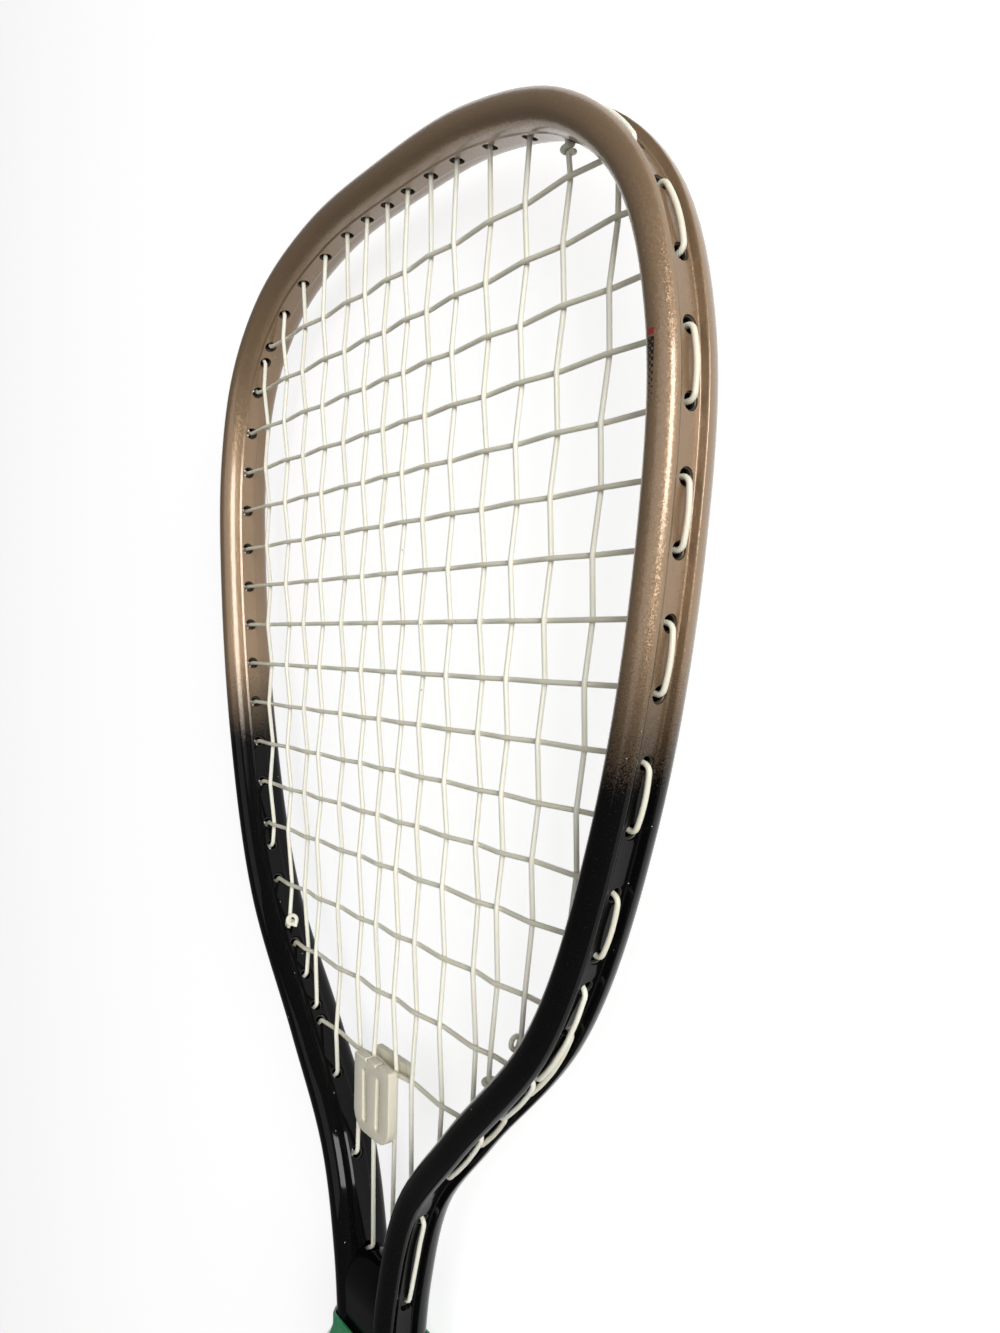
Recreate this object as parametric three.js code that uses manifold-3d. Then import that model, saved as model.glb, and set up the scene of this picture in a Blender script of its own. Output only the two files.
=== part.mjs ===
// A strung racquetball racket with a vibration dampener, as separate named pieces.
// Millimetres. X runs across the head, Y from the butt to the tip, Z out of the string plane.
// The origin is under the middle of the racket as it lies on its back.

import * as THREE from "three";
import { mergeVertices } from "three/addons/utils/BufferGeometryUtils.js";
import Module from "manifold-3d";

const wasm = await Module();
wasm.setup();

// Driving dimensions of the whole racket
const headHalfWidth = 108; // to the tube's centreline at its widest
const hoopReach = 358.6; // along Y, from the crown's centreline to where the shafts run parallel
const collarRise = 32.05; // the collar's rim stands this far above where the shafts run parallel
const handleLength = 199; // from the butt end to the collar's rim
const shaftHalfGap = 7.6; // from the middle to a parallel shaft's centreline
const shaftEndInset = 13.6; // from the butt end to the cut ends of the shafts
const fitGap = 0.3; // between pieces that touch on the real racket
const cutOverrun = 1; // how far a cutting solid runs past what it cuts

// Section of the tube: two round lobes, a string channel outside, a shallow flat inside
const tubeWidth = 8.9;
const tubeDepth = 17.1;
const tubeWall = 1.3;
const lobeHeight = 5.6;
const channelDepth = 2.1;
const channelFloorWidth = 5.4;
const innerFlatWidth = 4.2;
const innerFlatDepth = 0.5;
const holeDiameter = 4;

// Centreline of the hoop and throat, crown first
// x is a share of the head's half width and y a share of the hoop's reach
const hoopShares = [
  [0, 0],
  [0.38, 0.0065],
  [0.707, 0.0395],
  [0.909, 0.099],
  [0.995, 0.186],
  [0.981, 0.3085],
  [0.88, 0.4645],
  [0.699, 0.6025],
];
// x is a share of what the head's half width stands out past the shafts
const throatShares = [
  [0.353, 0.7072],
  [0.1335, 0.784],
  [0.0458, 0.8605],
  [0.013, 0.93],
  [0, 1],
];

// Strings
const stringDiameter = 1.3;
const linkBow = 0.5; // how far a link stands off the channel floor at its middle
const entryStand = 0.4; // from the inner wall to where a string bends into its hole
const cornerRun = 1.6; // along the channel, from a hole's axis to the end of the bend
const linkPlaceShares = [0.35, 0.65]; // where a link's middle points lie along it
// Places of the crosses, from the crown's centreline, as shares of the hoop's reach
const firstCrossShare = 0.0721;
const crossPitchShare = 0.03904;
const evenCrosses = 13;
const lowerPitchShares = [1.3, 1.33, 1.457]; // the last crosses, in cross pitches
// Places where each main meets the inner wall, from the middle main outwards
const mainTopShares = [0.051, 0.159, 0.273, 0.406, 0.551, 0.685, 0.83];
const mainFootShares = [0.048, 0.144, 0.266, 0.402, 0.472, 0.588, 0.729];

// Tie-off knots
const tailShort = 0.8; // a tail's cut end stays this far inside the inner wall
const knotStand = 3.2; // from the bend to the knot's middle, along its main
const knotHeight = 2.4;
const knotWall = 1.3;

// Throat yoke, moulded between the shafts
const yokeNoseWidth = 17; // between the shafts at the tip of the nose
const yokeNoseRise = 11; // the nose stands this far above the yoke's front edge
const yokeDepth = 15;
const yokeTuck = 12; // how far the yoke reaches into the collar
const middleHoleDrop = 6.2; // from the nose down to the outer mouths of the middle mains' holes

// Vibration dampener: a plate in front of the strings, held by a short bar behind them
const dampenerWidth = 19.6;
const dampenerHeight = 21.8;
const dampenerCorner = 5.8;
const dampenerTopCorner = 1.6;
const dampenerSlit = 3.5; // between the plate and the bar, where the strings lie
const frontPlateThickness = 2.8;
const backBarHeight = 4.8;
const backBarThickness = 2.4;
const backBarCorner = 1.9;
const backBarRise = 0.6; // the bar stands this far above the plate
const slotWidth = 1.6;
const slotHeight = 14.6;
const slotTuck = 0.234; // from the web's side in to a slot's middle
const dampenerOverlap = 2.8; // how far the plate reaches above the web, over the last cross

// Handle
const palletHalfWidth = 14.2;
const palletHalfDepth = 12.2;
const palletChamfer = 6;
const pocketDiameter = 10; // for the knot of a wrist cord
const gripWall = 1.5;
const gripTuck = 6; // how far the wrap and its tape reach into the collar
const tapeWall = 0.4;
const tapeLength = 16;
const collarLength = 23;
const collarWall = 1.7;
const collarLipWall = 0.7; // round the shafts
const collarRimLength = 3;
const collarRimChamfer = 2.4;
const collarFlareLength = 12.5;

// Butt cap and its staples
const capEndThickness = 3;
const capSkirtWall = 1.2;
const capSkirtLength = 20; // from the butt end to the top of the skirt
const capKnobLength = 9;
const capKnobProud = 1.4; // past the wrap
const capEdgeRound = 0.9;
const tetherHoleDiameter = 6;
const stapleCrown = 9;
const stapleWire = 0.5;
const stapleWireWidth = 1.2;
const stapleLeg = 3.2;
const stapleSeat = 15.4; // from the butt end to the staples

// Worked out from the above
const overallLength = tubeWidth / 2 + hoopReach - collarRise + handleLength;
const crownY = (overallLength - tubeWidth) / 2;
const buttY = -overallLength / 2;
const rimY = buttY + handleLength;
const stringRadius = stringDiameter / 2;
const weaveLift = stringRadius + fitGap / 2; // from the string plane to a string at a crossing
const laneShift = stringRadius + fitGap / 2; // sideways, where two strings share the channel
const tailShift = stringRadius + fitGap / 2; // along the channel, where a tail shares a hole
const floorOffset = tubeWidth / 2 - channelDepth;
const wallOffset = tubeWidth / 2 - innerFlatDepth;
const mainCount = 2 * mainTopShares.length;

// Finishes
const copperPaint = { color: 0xa5876c, roughness: 0.32, metalness: 0.75 };
const blackPaint = { color: 0x141313, roughness: 0.2, metalness: 0.1 };
const nylonString = { color: 0xe9e5d2, roughness: 0.35, metalness: 0 };
const creamRubber = { color: 0xe6e0cd, roughness: 0.5, metalness: 0 };
const greenRubber = { color: 0x2e7d4f, roughness: 0.35, metalness: 0 };
const foamPlastic = { color: 0xc9b48a, roughness: 0.8, metalness: 0 };
const blackGrip = { color: 0x1d1d1e, roughness: 0.75, metalness: 0 };
const blackTape = { color: 0x101010, roughness: 0.4, metalness: 0 };
const blackPlastic = { color: 0x17181a, roughness: 0.5, metalness: 0 };
const stapleSteel = { color: 0xb9bcc0, roughness: 0.35, metalness: 1 };

const racket = new THREE.Group();

// Solids and meshes

function solidOf(geometry) {
  const bare = geometry.clone();
  bare.deleteAttribute("normal");
  bare.deleteAttribute("uv");
  const merged = mergeVertices(bare);
  return new wasm.Manifold(
    new wasm.Mesh({
      numProp: 3,
      vertProperties: merged.getAttribute("position").array,
      triVerts: new Uint32Array(merged.index.array),
    }),
  );
}

function geometryOf(solid) {
  const made = solid.getMesh();
  const geometry = new THREE.BufferGeometry();
  geometry.setAttribute("position", new THREE.BufferAttribute(made.vertProperties, 3));
  geometry.setIndex(new THREE.BufferAttribute(made.triVerts, 1));
  geometry.computeVertexNormals();
  return geometry;
}

function addPiece(name, shape, finish) {
  const geometry = shape.isBufferGeometry ? shape : geometryOf(shape);
  const piece = new THREE.Mesh(geometry, new THREE.MeshStandardMaterial(finish));
  piece.name = name;
  racket.add(piece);
  return piece;
}

// The tube's centreline, from the left shaft's end round the hoop to the right shaft's end

function hoopPoints() {
  const overhang = headHalfWidth - shaftHalfGap;
  const right = [
    ...hoopShares.map(([x, y]) => [x * headHalfWidth, y]),
    ...throatShares.map(([x, y]) => [shaftHalfGap + x * overhang, y]),
  ].map(([x, y]) => new THREE.Vector3(x, crownY - y * hoopReach, 0));
  const left = right
    .slice(1)
    .reverse()
    .map((p) => new THREE.Vector3(-p.x, p.y, 0));
  return [...left, ...right];
}

function centreline(shaftEndY) {
  const points = hoopPoints();
  const path = new THREE.CurvePath();
  const first = points[0];
  const last = points[points.length - 1];
  path.add(new THREE.LineCurve3(new THREE.Vector3(first.x, shaftEndY, 0), first));
  path.add(new THREE.CatmullRomCurve3(points));
  path.add(new THREE.LineCurve3(last, new THREE.Vector3(last.x, shaftEndY, 0)));
  return path;
}

// The tube's outline across X = depth and Y = outwards, larger all round by grow
function tubeOutline(grow) {
  const half = tubeWidth / 2 + grow;
  const lobeMiddle = tubeDepth / 2 - lobeHeight;
  const lobeRadius = lobeHeight + grow;
  const floor = floorOffset + grow;
  const flat = -wallOffset - grow;
  const shape = new THREE.Shape();
  shape.moveTo(-channelFloorWidth / 2, floor);
  shape.lineTo(channelFloorWidth / 2, floor);
  shape.absellipse(lobeMiddle, 0, lobeRadius, half, Math.PI / 2, -Math.PI / 2, true);
  shape.lineTo(innerFlatWidth / 2, flat);
  shape.lineTo(-innerFlatWidth / 2, flat);
  shape.absellipse(-lobeMiddle, 0, lobeRadius, half, -Math.PI / 2, -1.5 * Math.PI, true);
  shape.closePath();
  return shape;
}

// The bore rounds each lobe up to the wall beside the channel
function tubeBore() {
  const lobeMiddle = tubeDepth / 2 - lobeHeight;
  const half = tubeWidth / 2 - tubeWall;
  const reach = lobeHeight - tubeWall;
  const besideChannel = Math.max(lobeMiddle, channelFloorWidth / 2) + tubeWall;
  const end = Math.acos((besideChannel - lobeMiddle) / reach);
  const angles = [-Math.PI / 2, -Math.PI / 4, 0, end / 2, end];
  const front = [
    [innerFlatWidth / 2, tubeWall - wallOffset],
    ...angles.map((a) => [lobeMiddle + reach * Math.cos(a), half * Math.sin(a)]),
    [channelFloorWidth / 2 + tubeWall / 2, floorOffset - tubeWall],
  ];
  const back = front.map(([x, y]) => [-x, y]).reverse();
  return new THREE.Path([...front, ...back].map(([x, y]) => new THREE.Vector2(x, y)));
}

const frameSteps = 84;
const lobeSegments = 3; // to a quarter turn

function sweepTube(outline, shaftEndY) {
  return new THREE.ExtrudeGeometry(outline, {
    extrudePath: centreline(shaftEndY),
    steps: frameSteps,
    curveSegments: lobeSegments,
  });
}

const shaftEndY = buttY + shaftEndInset;
const rail = centreline(shaftEndY);
const railLength = rail.getLength();

// A point on the tube: u runs 0 to 1 along the centreline, off is outwards, z is depth
function onRail(u, off, z = 0) {
  const p = rail.getPoint(u);
  const n = outwardAt(u);
  return new THREE.Vector3(p.x + n.x * off, p.y + n.y * off, z);
}

function outwardAt(u) {
  const t = rail.getTangent(u);
  return new THREE.Vector3(-t.y, t.x, 0).normalize();
}

function bisect(f, low, high) {
  const rising = f(high) > f(low);
  for (let i = 0; i < 40; i++) {
    const middle = (low + high) / 2;
    if (f(middle) > 0 === rising) high = middle;
    else low = middle;
  }
  return (low + high) / 2;
}

// Places of the strings. Mains count from the left and crosses from the tip

const last = (list) => list[list.length - 1];
const crownShare = 0.5; // of the rail's length
const shaftU = 1 - (last(hoopPoints()).y - shaftEndY) / railLength;
const widestU = bisect((u) => rail.getTangent(u).x, crownShare, shaftU);
const wallAt = (u) => onRail(u, -wallOffset);
const mirrorU = (u, side) => (side > 0 ? u : 1 - u);

function crossYs() {
  const pitch = crossPitchShare * hoopReach;
  const ys = [];
  for (let i = 0; i < evenCrosses; i++) {
    ys.push(crownY - firstCrossShare * hoopReach - i * pitch);
  }
  for (const share of lowerPitchShares) {
    ys.push(last(ys) - share * pitch);
  }
  return ys;
}

// A string hole: where the string bends at the inner wall, and its mouth in the channel
function plainHole(u) {
  return { u, inner: onRail(u, -wallOffset - entryStand), outer: onRail(u, floorOffset) };
}

// The middle mains leave through the yoke's nose and slant out through the shafts
const noseU = bisect((u) => wallAt(u).x - yokeNoseWidth / 2, widestU, shaftU);
const noseY = wallAt(noseU).y;

function middleHole(x) {
  const mouthY = noseY - middleHoleDrop;
  const right = bisect((u) => onRail(u, floorOffset).y - mouthY, widestU, shaftU);
  const u = mirrorU(right, Math.sign(x));
  return { u, inner: new THREE.Vector3(x, noseY + entryStand, 0), outer: onRail(u, floorOffset) };
}

function mainString(side, k) {
  const topX = mainTopShares[k] * headHalfWidth;
  const footX = mainFootShares[k] * headHalfWidth;
  const topU = bisect((u) => wallAt(u).x - topX, crownShare, widestU);
  const footU = bisect((u) => wallAt(u).x - footX, widestU, shaftU);
  const foot = k === 0 ? middleHole(side * footX) : plainHole(mirrorU(footU, side));
  return { top: plainHole(mirrorU(topU, side)), foot };
}

const mainOrder = [...mainTopShares.keys()];
const mains = [
  ...mainOrder.map((k) => mainString(-1, k)).reverse(),
  ...mainOrder.map((k) => mainString(1, k)),
];

const crosses = crossYs().map((y) => {
  const u = bisect((v) => wallAt(v).y - y, crownShare, shaftU);
  return { y, left: plainHole(1 - u), right: plainHole(u) };
});

const holes = [
  ...mains.flatMap((main) => [main.top, main.foot]),
  ...crosses.flatMap((cross) => [cross.left, cross.right]),
];

// x of a main where it passes the height y
function mainX(main, y) {
  const top = main.top.inner;
  const foot = main.foot.inner;
  return foot.x + ((top.x - foot.x) * (y - foot.y)) / (top.y - foot.y);
}

// Crossings of a main with the crosses, and of a cross with the mains, as points on the main.
// A main lies in front of a cross at every other crossing
function crossing(j, i) {
  const main = mains[j];
  const { y, left, right } = crosses[i];
  const x = mainX(main, y);
  const inHeight = y > main.foot.inner.y && y < main.top.inner.y;
  if (!inHeight || x < left.inner.x || x > right.inner.x) return null;
  return new THREE.Vector3(x, y, (i + j) % 2 ? weaveLift : -weaveLift);
}

function crossingsOfMain(j) {
  return crosses.map((_, i) => crossing(j, i)).filter((point) => point);
}

function crossingsOfCross(i) {
  const points = mains.map((_, j) => crossing(j, i)).filter((point) => point);
  return points.map((point) => point.setZ(-point.z));
}

// Holes that a string's cut end shares with a main, which is tied there. The outer mains end
// in their neighbours' foot holes, the first cross at the top and the last cross at the foot
const mainTies = [
  { from: mains[0].foot, to: mains[1].foot, on: 1 },
  { from: last(mains).foot, to: mains[mainCount - 2].foot, on: mainCount - 2 },
];
const firstCrossTie = { from: crosses[0].right, to: mains[mainCount - 2].top, on: mainCount - 2 };
const lastCrossTie = { from: last(crosses).right, to: mains[mainCount - 3].foot, on: mainCount - 3 };
const sharedHoles = [...mainTies, firstCrossTie, lastCrossTie].map((tie) => tie.to);

// A link takes the middle of the channel, or one lane of it where another string's hole lies
// under it. Mains take the front lane and crosses the back one
const frontLane = laneShift;
const backLane = -laneShift;

function laneBetween(a, b, lane) {
  const low = Math.min(a.u, b.u);
  const high = Math.max(a.u, b.u);
  const crowded = holes.some((hole) => hole.u > low && hole.u < high);
  return crowded || sharedHoles.includes(a) || sharedHoles.includes(b) ? lane : 0;
}

// Points of a link along the channel from hole a to hole b, bowed out in the middle
function linkPoints(a, b, lane) {
  const run = b.u - a.u;
  const corner = cornerRun / railLength / Math.abs(run);
  const stand = floorOffset + stringRadius + fitGap;
  const places = [corner, ...linkPlaceShares, 1 - corner];
  return places.map((s) => onRail(a.u + run * s, stand + linkBow * Math.sin(Math.PI * s), lane));
}

// Where a string and a tail lie side by side in a hole, each keeps to its own side along the
// channel: the tail to the side that it comes from
function tieShift(tie, side) {
  return rail.getTangent(tie.to.u).multiplyScalar(side * tailShift * Math.sign(tie.from.u - tie.to.u));
}

const noShift = new THREE.Vector3();

// From the bend at the inner wall out through the hole, in its lane
function throughHole(hole, lane, shift = noShift) {
  const shared = sharedHoles.includes(hole);
  return [
    hole.inner.clone().add(shift).setZ(shared ? lane : 0),
    hole.outer.clone().add(shift).setZ(lane),
  ];
}

// A string's last stretch: along the channel and into the shared hole, cut off inside it
function tailPoints(tie, lane, shift = noShift) {
  const cutEnd = onRail(tie.to.u, tailShort - wallOffset);
  return [
    ...linkPoints(tie.from, tie.to, lane),
    tie.to.outer.clone().add(shift).setZ(lane),
    cutEnd.add(shift).setZ(lane),
  ];
}

// Joins strings of one kind: along each one, out through its end hole, and round to the next
function route(strings, lane, points) {
  const path = [];
  strings.forEach(({ start, end, startShift, endShift, crossings }, i) => {
    const before = strings[i - 1];
    const after = strings[i + 1];
    const laneIn = before ? laneBetween(before.end, start, lane) : lane;
    const laneOut = after ? laneBetween(end, after.start, lane) : lane;
    path.push(...throughHole(start, laneIn, startShift).reverse(), ...crossings);
    path.push(...throughHole(end, laneOut, endShift));
    if (after) path.push(...linkPoints(end, after.start, laneOut));
  });
  return [...points.first, ...path, ...points.last];
}

// The mains are one string: up the first, down the next, and so on across the head
function mainRoute() {
  const strings = mains.map(({ top, foot }, j) => {
    const tie = mainTies.find((t) => t.to === foot);
    const footShift = tie ? tieShift(tie, -1) : noShift;
    const points = crossingsOfMain(j);
    return j % 2
      ? { start: top, end: foot, endShift: footShift, crossings: points }
      : { start: foot, end: top, startShift: footShift, crossings: points.reverse() };
  });
  const [firstTail, lastTail] = mainTies.map((tie) => tailPoints(tie, frontLane, tieShift(tie, 1)));
  return route(strings, frontLane, { first: firstTail.reverse(), last: lastTail });
}

// So are the crosses: from right to left, back again, and so on down the head
function crossRoute() {
  const strings = crosses.map(({ left, right }, i) => {
    const points = crossingsOfCross(i);
    return i % 2
      ? { start: left, end: right, crossings: points }
      : { start: right, end: left, crossings: points.reverse() };
  });
  return route(strings, backLane, {
    first: tailPoints(firstCrossTie, backLane).reverse(),
    last: tailPoints(lastCrossTie, backLane),
  });
}

// A tube of round section with flat ends, one ring at each point
const stringSides = 5;

function stringTube(points) {
  const up = new THREE.Vector3(0, 0, 1);
  const positions = [];
  const index = [];
  points.forEach((p, i) => {
    const before = points[Math.max(i - 1, 0)];
    const after = points[Math.min(i + 1, points.length - 1)];
    const into = p.clone().sub(before).normalize();
    const out = after.clone().sub(p).normalize();
    const along = into.add(out).normalize();
    const across = new THREE.Vector3().crossVectors(up, along).normalize();
    const above = new THREE.Vector3().crossVectors(along, across);
    for (let s = 0; s < stringSides; s++) {
      const angle = (2 * Math.PI * s) / stringSides;
      const q = p
        .clone()
        .addScaledVector(across, stringRadius * Math.cos(angle))
        .addScaledVector(above, stringRadius * Math.sin(angle));
      positions.push(q.x, q.y, q.z);
    }
  });
  for (let i = 0; i + 1 < points.length; i++) {
    for (let s = 0; s < stringSides; s++) {
      const a = i * stringSides + s;
      const b = i * stringSides + ((s + 1) % stringSides);
      index.push(a, b, b + stringSides, a, b + stringSides, a + stringSides);
    }
  }
  const end = (points.length - 1) * stringSides;
  for (let s = 1; s + 1 < stringSides; s++) {
    index.push(0, s + 1, s, end, end + s, end + s + 1);
  }
  const geometry = new THREE.BufferGeometry();
  geometry.setAttribute("position", new THREE.Float32BufferAttribute(positions, 3));
  geometry.setIndex(index);
  geometry.computeVertexNormals();
  return geometry;
}

// A round bar between two points, for drilling
function drill(from, to, diameter) {
  const axis = to.clone().sub(from);
  const bar = new THREE.CylinderGeometry(diameter / 2, diameter / 2, axis.length(), 6);
  const turn = new THREE.Quaternion().setFromUnitVectors(
    new THREE.Vector3(0, 1, 0),
    axis.clone().normalize(),
  );
  bar.applyQuaternion(turn);
  const middle = from.clone().add(to).divideScalar(2);
  bar.translate(middle.x, middle.y, middle.z);
  return solidOf(bar);
}

function holeSolid(hole) {
  const along = hole.outer.clone().sub(hole.inner).normalize().multiplyScalar(cutOverrun);
  return drill(hole.inner.clone().sub(along), hole.outer.clone().add(along), holeDiameter);
}

const stringHoles = wasm.Manifold.union(holes.map(holeSolid));
const frameClearance = solidOf(sweepTube(tubeOutline(fitGap), shaftEndY - fitGap));

function frame() {
  const outline = tubeOutline(0);
  outline.holes.push(tubeBore());
  return solidOf(sweepTube(outline, shaftEndY)).subtract(stringHoles);
}

// The yoke fills the gap between the shafts; its nose falls away to the front and the back
const yokeEndY = rimY - yokeTuck;
const yokeLevels = 5;

function throatYoke() {
  const high = noseY + cutOverrun;
  const right = [];
  for (let i = 0; i <= yokeLevels; i++) {
    const y = yokeEndY + ((high - yokeEndY) * i) / yokeLevels;
    const u = bisect((v) => rail.getPoint(v).y - y, widestU, 1);
    right.push(new THREE.Vector2(rail.getPoint(u).x, y));
  }
  const left = right.map((p) => new THREE.Vector2(-p.x, p.y)).reverse();
  const plan = new THREE.ExtrudeGeometry(new THREE.Shape([...right, ...left]), {
    depth: yokeDepth,
    bevelEnabled: false,
  });
  plan.translate(0, 0, -yokeDepth / 2);

  const side = new THREE.Shape();
  side.moveTo(-yokeDepth / 2, yokeEndY);
  side.lineTo(yokeDepth / 2, yokeEndY);
  side.absellipse(0, noseY - yokeNoseRise, yokeDepth / 2, yokeNoseRise, 0, Math.PI, false);
  side.closePath();
  const width = 2 * headHalfWidth;
  const nose = new THREE.ExtrudeGeometry(side, {
    depth: width,
    bevelEnabled: false,
    curveSegments: 8,
  });
  nose.translate(0, 0, -width / 2);
  nose.rotateY(Math.PI / 2);
  return solidOf(plan).intersect(solidOf(nose)).subtract(frameClearance).subtract(stringHoles);
}

// A knot is a ring round its main, just inside the wall where the tail is tied to it
function knot(tie, lane, shift = noShift) {
  const inner = stringRadius + fitGap;
  const outer = inner + knotWall;
  const half = knotHeight / 2;
  const profile = [
    [inner, -half],
    [outer - knotWall / 3, -half],
    [outer, 0],
    [outer - knotWall / 3, half],
    [inner, half],
    [inner, -half],
  ].map(([r, y]) => new THREE.Vector2(r, y));
  const ring = new THREE.LatheGeometry(profile, 8);
  const bend = tie.to.inner.clone().add(shift).setZ(lane);
  const met = crossingsOfMain(tie.on);
  const nearest = tie.to === mains[tie.on].top ? met[0] : last(met);
  const along = nearest.sub(bend).normalize();
  ring.applyQuaternion(
    new THREE.Quaternion().setFromUnitVectors(new THREE.Vector3(0, 1, 0), along),
  );
  const place = bend.addScaledVector(along, knotStand);
  ring.translate(place.x, place.y, place.z);
  return ring;
}

// Sleeves and caps of the handle are stacks of eight-sided rings: [y, half width, half depth,
// chamfer]. The stack closes on itself, down the outside and up the inside
function ringStack(rings) {
  const closed = [...rings, rings[0]].reverse();
  const profile = closed.map(([y]) => new THREE.Vector2(1, y));
  const stack = new THREE.LatheGeometry(profile, 8);
  const position = stack.getAttribute("position");
  for (let s = 0; s <= 8; s++) {
    closed.forEach(([y, w, d, c], i) => {
      const corners = [
        [w - c, d],
        [w, d - c],
        [w, c - d],
        [w - c, -d],
        [c - w, -d],
        [-w, c - d],
        [-w, d - c],
        [c - w, d],
      ];
      const [x, z] = corners[s % 8];
      position.setXYZ(s * closed.length + i, x, y, z);
    });
  }
  stack.computeVertexNormals();
  return stack;
}

// Chamfer of a regular octagon, as a share of its half width
const octagonShare = 2 - Math.SQRT2;

// Chamfer of an eight-sided ring that lies this far outside the pallet
function chamferAt(offset) {
  return palletChamfer + offset * octagonShare;
}

function ringAt(y, offsetX, offsetZ = offsetX) {
  const offset = (offsetX + offsetZ) / 2;
  return [y, palletHalfWidth + offsetX, palletHalfDepth + offsetZ, chamferAt(offset)];
}

// Two moulded half pallets, bored for the shafts, with a pocket for the tether's knot
const palletTopY = yokeEndY - fitGap;
const palletEndY = buttY + capEndThickness + fitGap;

function palletHalf(facing) {
  const w = palletHalfWidth;
  const d = palletHalfDepth;
  const c = palletChamfer;
  const flat = fitGap / 2;
  const section = [
    [-w, flat],
    [w, flat],
    [w, d - c],
    [w - c, d],
    [c - w, d],
    [-w, d - c],
  ].map(([x, z]) => new THREE.Vector2(x, facing * z));
  const bar = new THREE.ExtrudeGeometry(new THREE.Shape(section), {
    depth: palletTopY - palletEndY,
    bevelEnabled: false,
  });
  bar.rotateX(Math.PI / 2);
  bar.translate(0, palletTopY, 0);
  const pocketTop = new THREE.Vector3(0, shaftEndY, 0);
  const pocketEnd = new THREE.Vector3(0, palletEndY - cutOverrun, 0);
  const pocket = drill(pocketTop, pocketEnd, pocketDiameter);
  const staple = facing > 0 ? stapleSlot(1) : stapleSlot(-1);
  return solidOf(bar).subtract(frameClearance).subtract(pocket).subtract(staple);
}

// Rubber wrap, wider over the cap's skirt
const skirtOuter = fitGap + capSkirtWall;
const stapleStand = fitGap + stapleWire;
const skirtTopY = buttY + capSkirtLength;
const collarEndY = rimY - collarLength;
const wrapTopY = collarEndY + gripTuck;
const wrapEndY = buttY + capKnobLength;

function gripWrap() {
  const step = skirtTopY + fitGap;
  const slope = skirtTopY + capSkirtLength / 2;
  const overSkirt = skirtOuter + fitGap;
  const overStaple = skirtOuter + stapleStand + fitGap;
  return ringStack([
    ringAt(wrapTopY, fitGap + gripWall),
    ringAt(slope, fitGap + gripWall),
    ringAt(step, overSkirt + gripWall, overStaple + gripWall),
    ringAt(wrapEndY, overSkirt + gripWall, overStaple + gripWall),
    ringAt(wrapEndY, overSkirt, overStaple),
    ringAt(step, overSkirt, overStaple),
    ringAt(step + gripWall, fitGap),
    ringAt(wrapTopY, fitGap),
  ]);
}

// Tape that holds the top end of the wrap, partly under the collar
function finishingTape() {
  const inner = 2 * fitGap + gripWall;
  return ringStack([
    ringAt(wrapTopY, inner + tapeWall),
    ringAt(wrapTopY - tapeLength, inner + tapeWall),
    ringAt(wrapTopY - tapeLength, inner),
    ringAt(wrapTopY, inner),
  ]);
}

// Bell-shaped collar: its rim hugs the shafts and its skirt covers the top of the wrap
function gripCollar() {
  const shaftU = bisect((u) => rail.getPoint(u).y - rimY, widestU, 1);
  const rimX = rail.getPoint(shaftU).x + tubeWidth / 2 + fitGap;
  const rimZ = tubeDepth / 2 + fitGap;
  const rimRing = (y, wall) => [y, rimX + wall, rimZ + wall, collarRimChamfer + wall / 2];
  const inner = 3 * fitGap + gripWall + tapeWall;
  const neckY = rimY - collarRimLength;
  const shoulderY = rimY - collarFlareLength;
  return ringStack([
    rimRing(rimY, collarLipWall),
    rimRing(neckY, collarLipWall),
    ringAt(shoulderY, inner + collarWall),
    ringAt(collarEndY, inner + collarWall),
    ringAt(collarEndY, inner),
    ringAt(shoulderY, inner),
    rimRing(neckY, 0),
    rimRing(rimY, 0),
  ]);
}

// Cup over the end of the pallets: skirt under the wrap, knob below it, tether hole in the end
function buttCap() {
  const knobX = skirtOuter + fitGap + gripWall + capKnobProud;
  const knobZ = knobX + stapleStand;
  const knobTop = wrapEndY - fitGap;
  const floorY = buttY + capEndThickness;
  const hole = tetherHoleDiameter / 2;
  const holeChamfer = hole * octagonShare;
  const body = ringStack([
    ringAt(skirtTopY, skirtOuter),
    ringAt(knobTop, skirtOuter),
    ringAt(knobTop, knobX, knobZ),
    ringAt(buttY + capEdgeRound, knobX, knobZ),
    ringAt(buttY, knobX - capEdgeRound, knobZ - capEdgeRound),
    [buttY, hole, hole, holeChamfer],
    [floorY, hole, hole, holeChamfer],
    ringAt(floorY, fitGap),
    ringAt(skirtTopY, fitGap),
  ]);
  return solidOf(body).subtract(stapleSlot(1)).subtract(stapleSlot(-1));
}

// Staples: a crown outside the skirt and two legs through it into the pallet
function stapleBars(facing, grow) {
  const seatZ = palletHalfDepth + skirtOuter + fitGap;
  const wire = stapleWire + 2 * grow;
  const wide = stapleWireWidth + 2 * grow;
  const y = buttY + stapleSeat;
  const legLength = stapleLeg + grow + stapleWire;
  const bars = [-1, 1].map((side) => {
    const leg = new THREE.BoxGeometry(wire, wide, legLength);
    const x = (side * (stapleCrown - stapleWire)) / 2;
    leg.translate(x, y, facing * (seatZ + stapleWire - legLength / 2));
    return solidOf(leg);
  });
  return { bars, seatZ, y };
}

function stapleSlot(facing) {
  return wasm.Manifold.union(stapleBars(facing, fitGap).bars);
}

function staple(facing) {
  const { bars, seatZ, y } = stapleBars(facing, 0);
  const crown = new THREE.BoxGeometry(stapleCrown, stapleWireWidth, stapleWire);
  crown.translate(0, y, facing * (seatZ + stapleWire / 2));
  return wasm.Manifold.union([...bars, solidOf(crown)]);
}

// Dampener: a front plate with two slots, a web between the middle mains, and a back bar
const lastCrossY = last(crosses).y;
const webTopY = lastCrossY - stringRadius - fitGap;

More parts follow.
